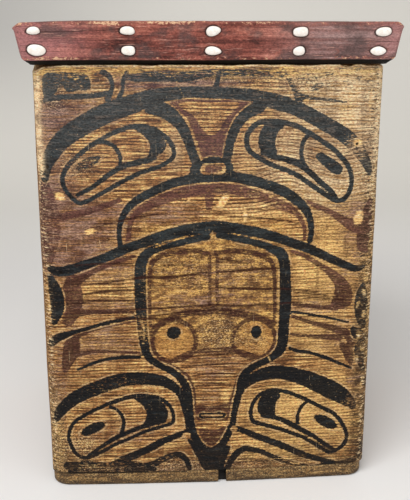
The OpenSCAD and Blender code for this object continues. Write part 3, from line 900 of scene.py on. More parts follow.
def age_front(front, wood, holes, pale):
    """Weathered ridges of the grain, dents at the holes and bare patches, and chips along the top edge."""
    ridges = wander(wood * RIDGE_STRETCH, RIDGE_SIZE, 5).reshape(grid_x.shape)
    dents = HOLE_DEPTH * smooth(0.5 - holes / 2) + BARE_DEPTH * smooth(0.5 - pale / 3)
    front[..., 1] += dents - RIDGE_H * ridges
    near_top = smooth((front_rows - SEAT_Z + CHIP_REACH) / CHIP_REACH)[:, None]
    chip = wander(wood * (1, 0, 0), SMALL_CHIP_SIZE, 6).reshape(grid_x.shape)
    chip = SMALL_CHIP * np.clip(chip, 0, 1)
    for x, half, deep in TOP_CHIPS:
        chip += deep * smooth(1.3 - np.abs(grid_x - x) / half)
    front[..., 2] -= chip * near_top ** 3
    front[..., 1] += 0.5 * chip * near_top ** 2


def front_layers(count, holes, pale):
    """The layers that the painted wood reads. Away from the front they say that nothing is there."""
    paint, age, stain = np.full((count, 3), FAR), np.full((count, 3), FAR), np.zeros((count, 3))
    age[:, 0] = 0
    n = grid_x.size
    paint[:n] = np.stack([black_paint(), red_paint(), pale], -1).reshape(-1, 3)
    age[:n] = np.stack([spread(WORN_PATCHES, 0.1), cracks(), holes], -1).reshape(-1, 3)
    stains = [spread(patches) for patches in (WASH_PATCHES, DIRT_PATCHES, FAIR_PATCHES)]
    stain[:n] = np.stack(stains, -1).reshape(-1, 3)
    return {"paint": paint, "age": age, "stain": stain}


def plank_points(chains, holes, pale):
    """Points of the front and then of the rest of the plank, and the same points in the wood."""
    right, _, left = chains
    n_front = len(front_plan)
    plan = np.concatenate([front_plan, *chains])
    # Length round the plank is counted from the middle of the front
    length = run_length(plan)
    length = length - length[n_front // 2]
    depth = np.zeros(len(plan))
    depth[n_front + len(right):-len(left)] = WALL_T
    normal = normals_of(plan, closed=True)
    normal[0], normal[n_front - 1] = normals_of(front_plan)[[0, -1]]
    columns = plan, normal, length, depth
    front, front_wood = lay_wall(*(column[:n_front] for column in columns), front_rows, front_in)
    rest, rest_wood = lay_wall(*(column[n_front:] for column in columns), rest_rows, rest_in)
    age_front(front, front_wood, holes, pale)
    points = np.concatenate([front.reshape(-1, 3), rest.reshape(-1, 3)])
    for (x, y), (wide, long), drop in WORN_CORNERS:
        near = smooth(1.2 - np.hypot((points[:, 0] - x) / wide, (points[:, 1] - y) / long))
        points[:, 2] -= drop * near ** 2 * smooth((points[:, 2] - SEAT_Z + CORNER_REACH) / CORNER_REACH)
    return points, np.concatenate([front_wood, rest_wood])


def share_of_height(rows):
    return (rows - rows[0]) / (rows[-1] - rows[0])


def wall_faces(front_index, rest_index, chains):
    """Faces of the walls, outside and inside, each group with its chart."""
    right, inside, left = (len(chain) for chain in chains)
    back_at = right + inside
    left_at = back_at + left - left // 3
    front_up, rest_up = share_of_height(front_rows), share_of_height(rest_rows)
    return [
        (FRONT_CHART, grid_faces(front_index)),
        (RIGHT_CHART, stitch(front_index[:, -1], rest_index[:, 0], front_up, rest_up)),
        (RIGHT_CHART, grid_faces(rest_index[:, :right])),
        (INSIDE_CHART, grid_faces(rest_index[:, right - 1:back_at + 1])),
        (BACK_CHART, grid_faces(rest_index[:, back_at:left_at + 1])),
        (LEFT_CHART, grid_faces(rest_index[:, left_at:])),
        (LEFT_CHART, stitch(rest_index[:, -1], front_index[:, 0], rest_up, front_up)),
    ]


def rim_faces(front_index, rest_index, chains):
    """Faces of the upper and lower edges, each group with its chart, and how far along each vertex lies."""
    right, inside, left = chains
    outside_plan = np.concatenate([right[::-1], front_plan[::-1], left[::-1]])
    outside_run = run_length(outside_plan)
    nearest = ((inside[:, None] - outside_plan[None]) ** 2).sum(-1).argmin(1)
    inside_run = np.maximum.accumulate(outside_run[nearest])
    inside_run[0], inside_run[-1] = 0, outside_run[-1]
    rim_run = np.zeros(front_index.size + rest_index.size)
    charted = []
    for row, chart in ((-1, TOP_CHART), (0, FOOT_CHART)):
        on_right, on_inside, on_left = np.split(rest_index[row], [len(right), len(right) + len(inside)])
        outside = np.concatenate([on_right[::-1], front_index[row][::-1], on_left[::-1]])
        charted.append((chart, stitch(outside, on_inside, outside_run, inside_run)))
        rim_run[outside] = outside_run
        rim_run[on_inside] = inside_run
    return charted, rim_run


def bent_side_plank(material):
    chains = rest_columns()
    holes, pale = small_holes(), pale_patches()
    points, wood = plank_points(chains, holes, pale)
    front_index = np.arange(grid_x.size).reshape(grid_x.shape)
    rest_index = np.arange(grid_x.size, len(points)).reshape(len(rest_rows), -1)
    on_rims, rim_run = rim_faces(front_index, rest_index, chains)
    charted = wall_faces(front_index, rest_index, chains) + on_rims
    faces = [face for _, group in charted for face in group]
    charts = np.concatenate([np.full(len(group), chart) for chart, group in charted])
    obj = make_piece("bent_side_plank_aged", points, faces, material, "box",
                     ["bent_side_plank"], {"wood": wood, **front_layers(len(points), holes, pale)})
    on_wall, on_rim = wood[:, :2], np.stack([rim_run, wood[:, 2]], 1)
    set_bake_map(obj, [on_wall] * TOP_CHART + [on_rim] * 2, charts)


# The lid: rings of points that run from the foot of its bevels up to its top edge, and down under it

LID_H = lid_high[2] - SEAT_Z
LID_OUT = lid_high[0] - HALF_W
# Its faces lean out from the low value to this one, above a bevel, on the long sides and at the ends
LONG_LOW_OUT, LONG_BEVEL = 9, 6
END_LOW_OUT, END_BEVEL = 10, 11
FOOT_OUT = 1
FOOT_EDGE = 1.5
LID_ARRIS = 2
LID_CORNER_R, LID_FOOT_R = 8, 4
TOP_INSET = 8
PLUG_H = SEAT_Z - lid_low[2]
PLUG_GAP = 1.2
PLUG_W = 18
PLUG_EDGE = 2
HOLLOW_H = 24
HOLLOW_R = 20
CEILING_EDGE = 4
LONG_COLUMNS, END_COLUMNS, CORNER_COLUMNS = 196, 72, 6
FACE_SLOPE = math.atan2(LID_OUT - LONG_LOW_OUT, LID_H - LID_ARRIS - LONG_BEVEL)
FACE_FOOT = np.array([0, -HALF_D - LONG_LOW_OUT, SEAT_Z + LONG_BEVEL])
FACE_UP = np.array([0, -math.sin(FACE_SLOPE), math.cos(FACE_SLOPE)])
FACE_OUT = np.array([0, -math.cos(FACE_SLOPE), -math.sin(FACE_SLOPE)])

# Of each shell: how egg-shaped, its turn in degrees, how flat below, its outline's power (2 is an oval)
Shell = namedtuple("Shell", "length width egg turn flat square")
UPPER_SHELLS = [(14.2, 10.6, 0.05, 3, 0.45, 2.2), (15.9, 11.2, 0.02, -2, 0.4, 2.3),
                (16.1, 11, -0.22, 10, 0.1, 2.0), (16.3, 10.4, 0.1, 3, 0.05, 2.9),
                (17.6, 9.8, 0.06, 5, 0.0, 2.3)]
LOWER_SHELLS = [(19.8, 12.2, -0.06, -6, 0.0, 2.1), (15, 10.6, 0.1, -3, 0.1, 2.6),
                (18, 10.8, -0.2, -4, 0.25, 2.0), (13.2, 10, 0.12, 12, 0.05, 2.3),
                (18, 10.3, 0.02, 0, 0.05, 1.7)]
SHELLS = {f"operculum_{row}_{i}": Shell(*shell)
          for row, shells in {"upper": UPPER_SHELLS, "lower": LOWER_SHELLS}.items()
          for i, shell in enumerate(shells, 1)}
POCKET_DEPTH = 1.8
SHELL_DEPTH = 2.2
DOME_H = 2.6
SHELL_COLUMNS, SHELL_ROWS, OUTLINE_ROUNDS = 48, 12, 12
# Unevenness of the hand-cut lid and its chipped edges, each with its size
LID_DRIFT, LID_DRIFT_SIZE = 0.9, 70
LID_WOBBLE, LID_WOBBLE_SIZE = 0.32, 21
LID_CHIP, LID_CHIP_SIZE = 1.7, 13
# How far below the lid's top its worn corners and its nicks reach
LID_WORN_REACH, LID_NICK_REACH = 12, 9

# Where the lid's front edges are rubbed. Each: x, half length, whether on the upper edge, how rubbed
RUBBED = [(-112, 18, 1, 0.7), (-44, 26, 1, 0.8), (-90, 70, 1, 0.2), (-208, 10, 1, 0.4), (-172, 40, 0, 1.1),
          (-30, 40, 0, 0.3), (45, 30, 0, 0.45), (150, 26, 0, 0.5), (208, 8, 1, 0.5), (208, 8, 0, 0.6),
          (60, 26, 1, 0.4)]
# Worn upper corners: which end, reach, drop
LID_WORN_ENDS = [(-1, 80, 2.2), (-1, 11, 4.0), (1, 80, 1.0), (1, 10, 3.6)]
# Nicks in the front's upper edge: x, half length, depth
LID_NICKS = [(146, 2.2, 1.6), (151.5, 1.8, 2.2), (-178, 5, 1.2), (60, 3, 0.8)]


def shell_centre(node):
    """Middle of a shell on the lid's front face, as distance along the lid and up the face."""
    low, high = node_box(node)
    middle = (low + high) / 2
    return middle[0], (middle - FACE_FOOT) @ FACE_UP


def shell_reach(u, v, shell):
    """How far out a point (along, up) on a shell's own axes is: 1 at the outline, less inside."""
    v = v / (1 + shell.egg * np.clip(2 * u / shell.length, -1, 1))
    half = shell.width / 2
    low = half * (1 - shell.flat)
    rise = (half - low) / 2
    v = np.where(v + rise < 0, (v + rise) / low, (v + rise) / half)
    u = 2 * u / shell.length
    return (np.abs(u) ** shell.square + np.abs(v) ** shell.square + 1e-12) ** (1 / shell.square)


def side_of_ring(half, away, r, columns, bow):
    """One side of a rounded rectangle, from the middle of one corner to the middle of the next."""
    turn = np.linspace(-math.pi / 4, 0, CORNER_COLUMNS + 1)[:-1]
    straight = np.linspace(-(half - r), half - r, columns - 2 * CORNER_COLUMNS + 1)
    first = np.stack([-(half - r) + r * np.sin(turn), r - r * np.cos(turn)], -1)
    middle = np.stack([straight, 0 * straight], -1)
    last = first[::-1] * (-1, 1)
    side = np.concatenate([first, middle, last])[:-1]
    side[:, 1] -= bow * (1 - (side[:, 0] / half) ** 2)
    weight = np.clip((half - np.abs(side[:, 0])) / r, 0, 1)
    return np.stack([side[:, 0], side[:, 1] - away], -1), smooth(weight) * 0.5 + 0.5


def ring_plan(half_x, half_y, r, bow=0.0):
    """A closed ring round the lid in plan, and how much each point belongs to the long sides."""
    front, on_front = side_of_ring(half_x, half_y, r, LONG_COLUMNS, bow)
    right, on_right = side_of_ring(half_y, half_x, r, END_COLUMNS, bow)
    right = np.stack([-right[:, 1], right[:, 0]], -1)
    plan = np.concatenate([front, right, -front, -right])
    return plan, np.concatenate([on_front, 1 - on_right, on_front, 1 - on_right])


def sides_of(ring):
    """A ring's four sides, each with both corners: front, right, back and left, from low x or y up."""
    nx, ny = LONG_COLUMNS, END_COLUMNS
    back, left = ring[nx + ny:2 * nx + ny + 1], np.concatenate([ring[2 * nx + ny:], ring[:1]])
    return ring[:nx + 1], ring[nx:nx + ny + 1], back[::-1], left[::-1]


def fill_ring(ring, points):
    """Fills a ring with a grid that runs from side to side. Returns the new points and all faces."""
    nx, ny = LONG_COLUMNS, END_COLUMNS
    front, right, back, left = sides_of(points[ring])
    s, t = np.meshgrid(np.linspace(0, 1, nx + 1), np.linspace(0, 1, ny + 1))
    s, t = s[..., None], t[..., None]
    grid = ((1 - t) * front[None] + t * back[None] + (1 - s) * left[:, None] + s * right[:, None]
            - (1 - s) * (1 - t) * front[0] - s * (1 - t) * front[-1]
            - (1 - s) * t * back[0] - s * t * back[-1])
    index = np.full((ny + 1, nx + 1), -1)
    index[0], index[:, -1], index[-1], index[:, 0] = sides_of(ring)
    inner = index < 0
    index[inner] = len(points) + np.arange(inner.sum())
    return grid[inner], grid_faces(index)


def lid_rings():
    """The lid's rings from the hollow's ceiling, down, out and up to the top, and two marks for every point:
    how near an edge it is, with bevels below 0 where painted shade goes, and whether it is outside."""
    rings, marks = [], []

    def add_ring(out_x, out_y, r, z_long, z_end, edge=0.0, outside=1.0, bow=0.0):
        plan, on_long = ring_plan(HALF_W + out_x, HALF_D + out_y, r, bow)
        z = SEAT_Z + z_end + (z_long - z_end) * on_long
        rings.append(np.concatenate([plan, z[:, None]], 1))
        marks.append(np.tile([edge, outside], (len(plan), 1)))

    plug = WALL_T + PLUG_GAP
    hollow = plug + PLUG_W
    under = [(-hollow, HOLLOW_R, z) for z in np.linspace(HOLLOW_H - CEILING_EDGE, -PLUG_H + PLUG_EDGE, 6)]
    under += [(-hollow + PLUG_EDGE, HOLLOW_R, -PLUG_H), (-plug - PLUG_EDGE, LID_FOOT_R, -PLUG_H)]
    under += [(-plug, LID_FOOT_R, z) for z in (-PLUG_H + PLUG_EDGE, -PLUG_H / 2, -1, 0)]
    for out, r, z in under:
        add_ring(out, out, r, z, z, outside=0, bow=WALL_BOW)
    add_ring(FOOT_OUT - FOOT_EDGE, FOOT_OUT - FOOT_EDGE, LID_FOOT_R, 0, 0, outside=0)
    for t in np.linspace(0.04, 0.9, 5):
        add_ring(FOOT_OUT + (END_LOW_OUT - FOOT_OUT) * t, FOOT_OUT + (LONG_LOW_OUT - FOOT_OUT) * t,
                 LID_FOOT_R, LONG_BEVEL * t, END_BEVEL * t, edge=-1 if t < 0.8 else -0.5)
    for t in np.concatenate([[0.01, 0.035, 0.07], np.linspace(0.11, 0.95, 19)]):
        edge = 1.4 * max(0, 1 - t / 0.1) + max(0, (t - 0.93) / 0.07)
        add_ring(END_LOW_OUT + (LID_OUT - END_LOW_OUT) * t, LONG_LOW_OUT + (LID_OUT - LONG_LOW_OUT) * t,
                 LID_FOOT_R + (LID_CORNER_R - LID_FOOT_R) * t,
                 LONG_BEVEL + (LID_H - LID_ARRIS - LONG_BEVEL) * t,
                 END_BEVEL + (LID_H - LID_ARRIS - END_BEVEL) * t, edge=edge)
    for turn in np.linspace(0, math.pi / 2, 5):
        out = LID_OUT - LID_ARRIS * (1 - math.cos(turn))
        z = LID_H - LID_ARRIS * (1 - math.sin(turn))
        add_ring(out, out, LID_CORNER_R, z, z, edge=1.2)
    add_ring(LID_OUT - TOP_INSET, LID_OUT - TOP_INSET, LID_CORNER_R, LID_H, LID_H, edge=0.35)
    return np.stack(rings), np.concatenate(marks)


def shell_gaps(points):
    """How far each point is from the nearest shell, on the plane of the front face."""
    up = (points - FACE_FOOT) @ FACE_UP
    on_face = np.abs((points - FACE_FOOT) @ FACE_OUT) < 3
    gap = np.full(len(points), FAR)
    for node, shell in SHELLS.items():
        x0, up0 = shell_centre(node)
        u, v = turned(points[:, 0] - x0, up - up0, shell.turn)
        gap = np.minimum(gap, (shell_reach(u, v, shell) - 1) * shell.width / 2)
    return np.where(on_face, gap, FAR)


def hand_cut(points, edge, outside):
    """Unevenness of the hand-cut lid, chipped edges, worn corners and nicks."""
    drift = np.stack([wander(points, LID_DRIFT_SIZE, 20 + i) for i in range(3)], 1)
    small = np.stack([wander(points, LID_WOBBLE_SIZE, 30 + i) for i in range(3)], 1)
    keep_foot = smooth((points[:, 2] - SEAT_Z - 0.5) / 4)[:, None]
    points = points + (LID_DRIFT * drift + LID_WOBBLE * small) * outside[:, None] * keep_foot
    chip = np.clip(wander(points, LID_CHIP_SIZE, 40) - 0.25, 0, 1) * np.clip(edge, 0, 1) * outside
    inward = -points * (0.004, 0.004, 0) - (0, 0, 1) * np.sign(points[:, 2:] - SEAT_Z - LID_H / 2)
    points = points + LID_CHIP * chip[:, None] * inward * keep_foot
    high = smooth((points[:, 2] - SEAT_Z - LID_H + LID_WORN_REACH) / LID_WORN_REACH) * outside
    for end, reach, drop in LID_WORN_ENDS:
        near = np.clip((end * points[:, 0] - HALF_W - LID_OUT + reach) / reach, 0, 1)
        points = points - (drop * high * near ** 2)[:, None] * (0, 0, 1)
    for x, half, deep in LID_NICKS:
        nick = deep * smooth(1.4 - np.abs(points[:, 0] - x - 0.5 * (SEAT_Z + LID_H - points[:, 2])) / half)
        nick = nick * smooth((points[:, 2] - SEAT_Z - LID_H + LID_NICK_REACH) / LID_NICK_REACH)
        nick = nick * (points[:, 1] < -HALF_D - LONG_LOW_OUT)
        points = points + nick[:, None] * (0, 0.9, -0.5)
    return points


def rubbed_edge(points):
    """How rubbed the lid's edges are at each point."""
    x, up = points[:, 0], smooth((points[:, 2] - SEAT_Z - 12) / (LID_H - 24))
    front = smooth((-points[:, 1] - HALF_D) / 6)
    amount = 0.25 * front + (1 - front) * 0.55
    for middle, half, upper, most in RUBBED:
        amount = amount + most * smooth(1.3 - np.abs(x - middle) / half) * (up if upper else 1 - up) * front
    return np.clip(amount + 0.3 * wander(points, 22, 41), 0, 1.3)


def lid(material):
    rows, mark = lid_rings()
    index = np.arange(rows[..., 0].size).reshape(rows.shape[:2])
    points, faces = rows.reshape(-1, 3), grid_faces(index, closed=True)
    for ring, outer in ((index[0], 0.0), (index[-1], 1.0)):
        filled, new_faces = fill_ring(ring, points)
        if not outer:
            filled[:, 2] = SEAT_Z + HOLLOW_H
        points = np.concatenate([points, filled])
        faces += new_faces
        mark = np.concatenate([mark, np.tile([0.0, outer], (len(filled), 1))])
    gap = shell_gaps(points)
    edge, outside = mark.T
    points = hand_cut(points, edge, outside)
    # Bevels keep their mark below 0, where the lid's colour paints shade
    rub = np.where(edge > 0, edge * rubbed_edge(points), edge)
    points = points - (POCKET_DEPTH * smooth(0.35 - gap / 1.2))[:, None] * FACE_OUT
    make_piece("carved_lid", points, faces, material, "lid", ["lid"],
               {"age": np.stack([rub, gap, outside], 1), "wood": points})


def operculum(node, shell, material, seed):
    """A shell let into the lid: an egg-shaped dome with faint growth ridges."""
    n = SHELL_COLUMNS
    a = np.linspace(0, 2 * math.pi, n, endpoint=False)
    outline = np.stack([np.cos(a), np.sin(a)], -1) * shell.width / 2
    for _ in range(OUTLINE_ROUNDS):
        outline /= shell_reach(outline[:, 0], outline[:, 1], shell)[:, None]
    outline *= 1 + 0.025 * wander(np.stack([9 * np.cos(a), 9 * np.sin(a), 0 * a], 1), 7, seed)[:, None]
    levels = [(0.94, -SHELL_DEPTH), (0.985, -1.2)]
    for k in range(SHELL_ROWS):
        q = k / (SHELL_ROWS - 1) * math.pi / 2 * 0.965
        levels.append((math.cos(q) ** 0.85, DOME_H * math.sin(q) ** 0.8))
    rings = []
    for k, (share, rise) in enumerate(levels):
        growth = 0.05 * math.sin(7.5 * share * math.pi) if k > 2 else 0
        tilt = 0.12 * share * np.cos(a - 0.6 * seed)
        height = rise + growth + tilt[:, None] * (k > 1)
        rings.append(np.concatenate([outline * share, height], 1))
    local = np.concatenate(rings + [[[0, 0, DOME_H]], [[0, 0, -SHELL_DEPTH]]])
    index = np.arange(n * len(levels)).reshape(len(levels), n)
    faces = grid_faces(index, closed=True)
    top, bottom = (index[-1], np.roll(index[-1], -1)), (np.roll(index[0], -1), index[0])
    for middle, ends in enumerate((top, bottom), index.size):
        faces += [[int(first), int(second), middle] for first, second in zip(*ends)]
    x0, up0 = shell_centre(node)
    along, up = turned(local[:, 0], local[:, 1], -shell.turn)
    points = (FACE_FOOT + np.outer(along + x0, (1, 0, 0)) + np.outer(up + up0, FACE_UP)
              + np.outer(local[:, 2], FACE_OUT))
    rim = np.concatenate([np.repeat([share for share, _ in levels], n), [0, 1]])
    own = np.concatenate([local[:, :2] + 31.0 * seed, rim[:, None]], 1)
    make_piece(node + "_shell", points, faces, material, "lid", [node], {"shell": own}, sharp=70)


# The base board, its notch and the pegs

BASE_T = FOOT_Z
BASE_INSET = 1.5
BASE_R = 22
BASE_JOINT_R = 6
BASE_ROUND = 2.5
PANEL_GAP = 0.4
PANEL_H = base_high[2] - BASE_T
NOTCH_X, NOTCH_W, NOTCH_DEPTH = 15, 10, 11
NOTCH_RAKE = 7
# Points on half the board's front, on a corner and on half a side
OUTLINE_POINTS = 78, 9, 24
# Waves, bumps and chips of the board's edge, each with its size
BASE_WAVE, BASE_WAVE_SIZE = 0.8, 45
BASE_BUMP, BASE_BUMP_SIZE = 0.4, 15
BASE_CHIP, BASE_CHIP_SIZE = 2.2, 24
# Left of here, the joint above the base is painted dark as shade in a gap
GAP_END_X = -30
PEG_D = 7
PEG_COLUMNS = 18
PEG_CLEARANCE = 0.25
PEG_TRIM = 0.4
PEG_MOUTH = 2.0
# A peg's outline: share of its length, share of its radius
PEG_PROFILE = [(0.0, 0.5), (0.02, 0.86), (0.06, 0.97), (0.3, 1), (0.94, 1), (0.975, 0.97), (0.99, 0.8),
               (1.0, 0.45)]
BASE_PEGS, BASE_PEG_MARGIN, BASE_PEG_RISE = 4, 52, 28
CORNER_PEGS, CORNER_PEG_MARGIN, CORNER_PEG_L, CORNER_PEG_HEAD = 9, 42, 42, 1.6
CORNER_PEG_Z = FOOT_Z + CORNER_PEG_MARGIN
CORNER_PEG_PITCH = (SEAT_Z - FOOT_Z - 2 * CORNER_PEG_MARGIN) / (CORNER_PEGS - 1)
SIDES = "front", "back", "left", "right"
peg_turns = np.linspace(0, 2 * math.pi, PEG_COLUMNS, endpoint=False)


def full_outline(inset, radii):
    """Closed outline with the radii of the front right, back right, back left and front left corners."""
    first, second, third, fourth = (quarter(inset, r, *OUTLINE_POINTS) for r in radii)
    return np.concatenate([first[:-1], (second[::-1] * (1, -1))[:-1], (third * (-1, -1))[:-1],
                           (fourth[::-1] * (-1, 1))[:-1]])


def row_places(count, length, margin):
    return (length - 2 * margin) * (np.arange(count) / (count - 1) - 0.5)


def base_peg_centres(side):
    x = row_places(BASE_PEGS, 2 * HALF_W, BASE_PEG_MARGIN)
    y = row_places(BASE_PEGS, 2 * HALF_D, BASE_PEG_MARGIN)
    if side in ("front", "back"):
        return np.stack([x, front_edge_y(x, WALL_T / 2) * (1 if side == "front" else -1)], -1)
    return np.stack([side_edge_x(y, WALL_T / 2) * (1 if side == "right" else -1), y], -1)


def notched(outline):
    """The outline with the notch in its front edge, and the numbers of the notch's points."""
    in_notch = np.flatnonzero((outline[:, 1] < -HALF_D + 8) & (np.abs(outline[:, 0] - NOTCH_X) < NOTCH_W / 2))
    front_y = float(front_edge_y(NOTCH_X, BASE_INSET))
    inner = outline.copy()
    inner[in_notch, 1] = front_y + NOTCH_DEPTH
    for corner, way in ((in_notch[0], -1), (in_notch[-1], 1)):
        x = NOTCH_X + way * NOTCH_W / 2
        inner[corner] = (x, front_y + NOTCH_DEPTH)
        inner[corner + way] = (x, front_y)
    return inner, in_notch


def flat_faces(points, loops):
    """Triangles that fill the first loop of vertices and leave the others open."""
    corners = [int(v) for loop in loops for v in loop]
    flat = tessellate_polygon([[Vector((*points[v, :2], 0)) for v in loop] for loop in loops])
    return [[corners[v] for v in triangle] for triangle in flat]


def base_board(material):
    outline = full_outline(BASE_INSET, [BASE_R, BASE_JOINT_R, BASE_R, BASE_R])
    panel = full_outline(WALL_T + PANEL_GAP, [INNER_R] * 4)
    inner, in_notch = notched(outline)
    normal = normals_of(outline, closed=True)
    n = len(outline)

    # Each row of the board's edge: how far it is drawn in, its height, how rubbed it is
    rows = [(BASE_ROUND * (1 - math.cos(turn)), BASE_ROUND * (1 - math.sin(turn)), math.sin(turn))
            for turn in np.linspace(math.pi / 2, 0, 5)]
    rows += [(0, z, 0.6 if z > BASE_T - 2 else 0) for z in np.linspace(BASE_ROUND, BASE_T - 1, 7)[1:]]
    rows.append((1, BASE_T, 0.8))
    rings = [np.concatenate([inner - normal * drawn, np.full((n, 1), z)], 1) for drawn, z, _ in rows]
    for ring, (_, z, _) in zip(rings, rows):
        ring[in_notch, 1] -= NOTCH_RAKE * (1 - z / BASE_T)
    body = np.concatenate(rings)
    rub = np.repeat([rubbed for _, _, rubbed in rows], n)
    wobble = BASE_WAVE * wander(body, BASE_WAVE_SIZE, 50) + BASE_BUMP * wander(body, BASE_BUMP_SIZE, 51)
    wobble -= BASE_CHIP * np.clip(wander(body, BASE_CHIP_SIZE, 52) - 0.35, 0, 1) * rub
    level = smooth(body[:, 2] / 2) * smooth((BASE_T - body[:, 2]) / 1.5)
    body[:, :2] += np.tile(normal, (len(rows), 1)) * (wobble * level)[:, None]
    panel_rings = [np.concatenate([panel, np.full((n, 1), z)], 1) for z in (BASE_T, BASE_T + PANEL_H)]
    points = np.concatenate([body] + panel_rings)
    index = np.arange(len(points)).reshape(-1, n)
    faces = grid_faces(index, closed=True)

    # Underside with the mouths of the peg holes, and the top of the panel
    circle = (PEG_D / 2 + PEG_CLEARANCE) * np.stack([np.cos(peg_turns), np.sin(peg_turns)], -1)
    loops = [index[0]]
    for centre in np.concatenate([base_peg_centres(side) for side in SIDES]):
        low = len(points) + np.arange(PEG_COLUMNS)
        mouth = np.concatenate([centre + circle, np.zeros((PEG_COLUMNS, 1))], 1)
        points = np.concatenate([points, mouth, mouth + (0, 0, PEG_MOUTH)])
        faces += grid_faces(np.stack([low, low + PEG_COLUMNS]), closed=True)
        faces.append((low + PEG_COLUMNS).tolist())
        loops.append(low)
    faces += flat_faces(points, loops) + flat_faces(points, [index[-1]])
    rub_and_shade = np.zeros(len(points))
    rub_and_shade[:len(rub)] = rub
    # The notch and the joint are marked below 0 for painted shade
    rub_and_shade[index[:len(rows), in_notch].ravel()] = -1
    joint = index[len(rows) - 2:len(rows)].ravel()
    rub_and_shade[joint[(points[joint, 0] < GAP_END_X) & (points[joint, 1] < 0)]] = -0.6
    make_piece("base_board_aged", points, faces, material, "box", ["base_board"],
               {"wood": points, "edge": rub_and_shade}, sharp=35)


def pegs(node, places, axis, start, end, material):
    """A row of whittled pegs. The axis is the direction of the head."""
    axis = np.array(axis, float)
    side = np.array([0, 0, 1.0]) if abs(axis[2]) < 0.5 else np.array([1.0, 0, 0])
    other = np.cross(axis, side)
    a, n = peg_turns, PEG_COLUMNS
    points, faces, heads = [], [], []
    for k, place in enumerate(places):
        facet = 1 - 0.05 * np.abs(wander(np.stack([8 * np.cos(a), 8 * np.sin(a), 0 * a + 9 * k], 1), 5, 60))
        index = len(points) * n + np.arange(len(PEG_PROFILE) * n).reshape(-1, n)
        for t, share in PEG_PROFILE:
            r = PEG_D / 2 * share * facet
            along = start + (end - start) * t
            middle = np.asarray(place) + np.outer(np.full(n, along), axis)
            points.append(middle + np.outer(r * np.cos(a), side) + np.outer(r * np.sin(a), other))
            heads.append(np.full(n, abs(t - 0.5) * 2))
        faces += grid_faces(index, closed=True)
        faces += [index[0].tolist(), index[-1].tolist()]
    points = np.concatenate(points)
    make_piece(node + "_whittled", points, faces, material, "box", [node],
               {"wood": points, "edge": np.concatenate(heads)}, sharp=50)


# Colours of the painted cedar

BLACK_DARK, BLACK_LIGHT = srgb(16, 19, 22), srgb(45, 51, 53)
# The first is a painted sheen on the upper black, the second is scuffed black
BLACK_SHEEN, BLACK_SCUFFED = srgb(104, 104, 103), srgb(128, 110, 96)
RED_DARK, RED_LIGHT = srgb(54, 29, 25), srgb(95, 60, 52)
WASH_DARK, WASH = srgb(80, 53, 48), srgb(138, 108, 98)
CEDAR_DARK, CEDAR, CEDAR_LIGHT = srgb(98, 64, 38), srgb(171, 121, 71), srgb(232, 188, 120)
FAIR_DULL, FAIR_GOLD, BARE_WOOD = srgb(174, 134, 82), srgb(226, 182, 112), srgb(236, 208, 164)
GOLD_DARK, GOLD, GOLD_LIGHT = srgb(72, 48, 29), srgb(126, 89, 49), srgb(224, 176, 98)
EYE_WOOD = srgb(180, 128, 68)
SIDE_BROWN, PATINA_DARK, PATINA_LIGHT = srgb(116, 74, 44), srgb(78, 50, 32), srgb(184, 138, 84)
GRAIN_LINE, STAIN = srgb(56, 34, 19), srgb(118, 78, 46)
# The second is grime, also used as painted shade at the wall's foot and right corner
SMUT, GRIME_AND_SHADE = srgb(58, 47, 38), srgb(52, 38, 27)
CUT_LINE = srgb(190, 158, 116)
# The second is painted shade in the small holes
CRACK_BROWN, HOLE_SHADE, JOINT_BROWN = srgb(50, 24, 17), srgb(22, 16, 12), srgb(36, 24, 16)
# The first is rubbed wood with a painted highlight on the left corner
RUBBED_AND_LIT_CORNER, YELLOW_EDGE = srgb(248, 216, 168), srgb(206, 166, 92)
# The first is painted shade in the gap above the base
FOOT_GAP_SHADE, INSIDE_BROWN = srgb(14, 10, 8), srgb(126, 84, 50)
GREY_FILM = srgb(80, 92, 112)
MIDDLE_GREY = (0.5, 0.5, 0.5, 1)
# Eyes of the lower face: their middle, half their distance, their height
FACE_X, EYE_APART, EYE_Z = 5, 48, 188
# Where the grain bends round a knot
KNOT_X, KNOT_Z = 118, 392


def cedar_grain(m, wall):
    """Grain that runs along the plank: soft streaks, dark lines and hair lines, all from 0 to 1."""
    wave = m.noise((0.0055, 0.011, 0.03), 2)
    ripple = m.noise((0.03, 0.03, 0.05), 2)
    from_knot = wall.along - KNOT_X
    near_knot = abs(from_knot).step(68, 20) * abs(wall.height - KNOT_Z).step(58, 15)
    level = wall.height + wave * 16 + ripple * 2.4 + from_knot * 0.28 * near_knot

    def along_grain(length, width, detail, rough):
        place = m.node("CombineXYZ", {0: wall.along * length, 1: level * width, 2: wall.depth * 0.3})
        return m.noise_at(place, detail, rough)

    wall.streaks = along_grain(0.006, 0.34, 5, 0.62)
    hair = along_grain(0.022, 0.8, 3, 0.6)
    beat = (level * 1.6 + wall.streaks * 3).math("SINE") + (hair - 0.5) * 2
    strength = m.noise((0.009, 0.035, 0.05), shift=(3, 8, 0))
    wall.lines = beat.step(0.55, 0.78) * strength.step(0.34, 0.58, 0.4, 1)
    wall.hair = hair.step(0.55, 0.66)


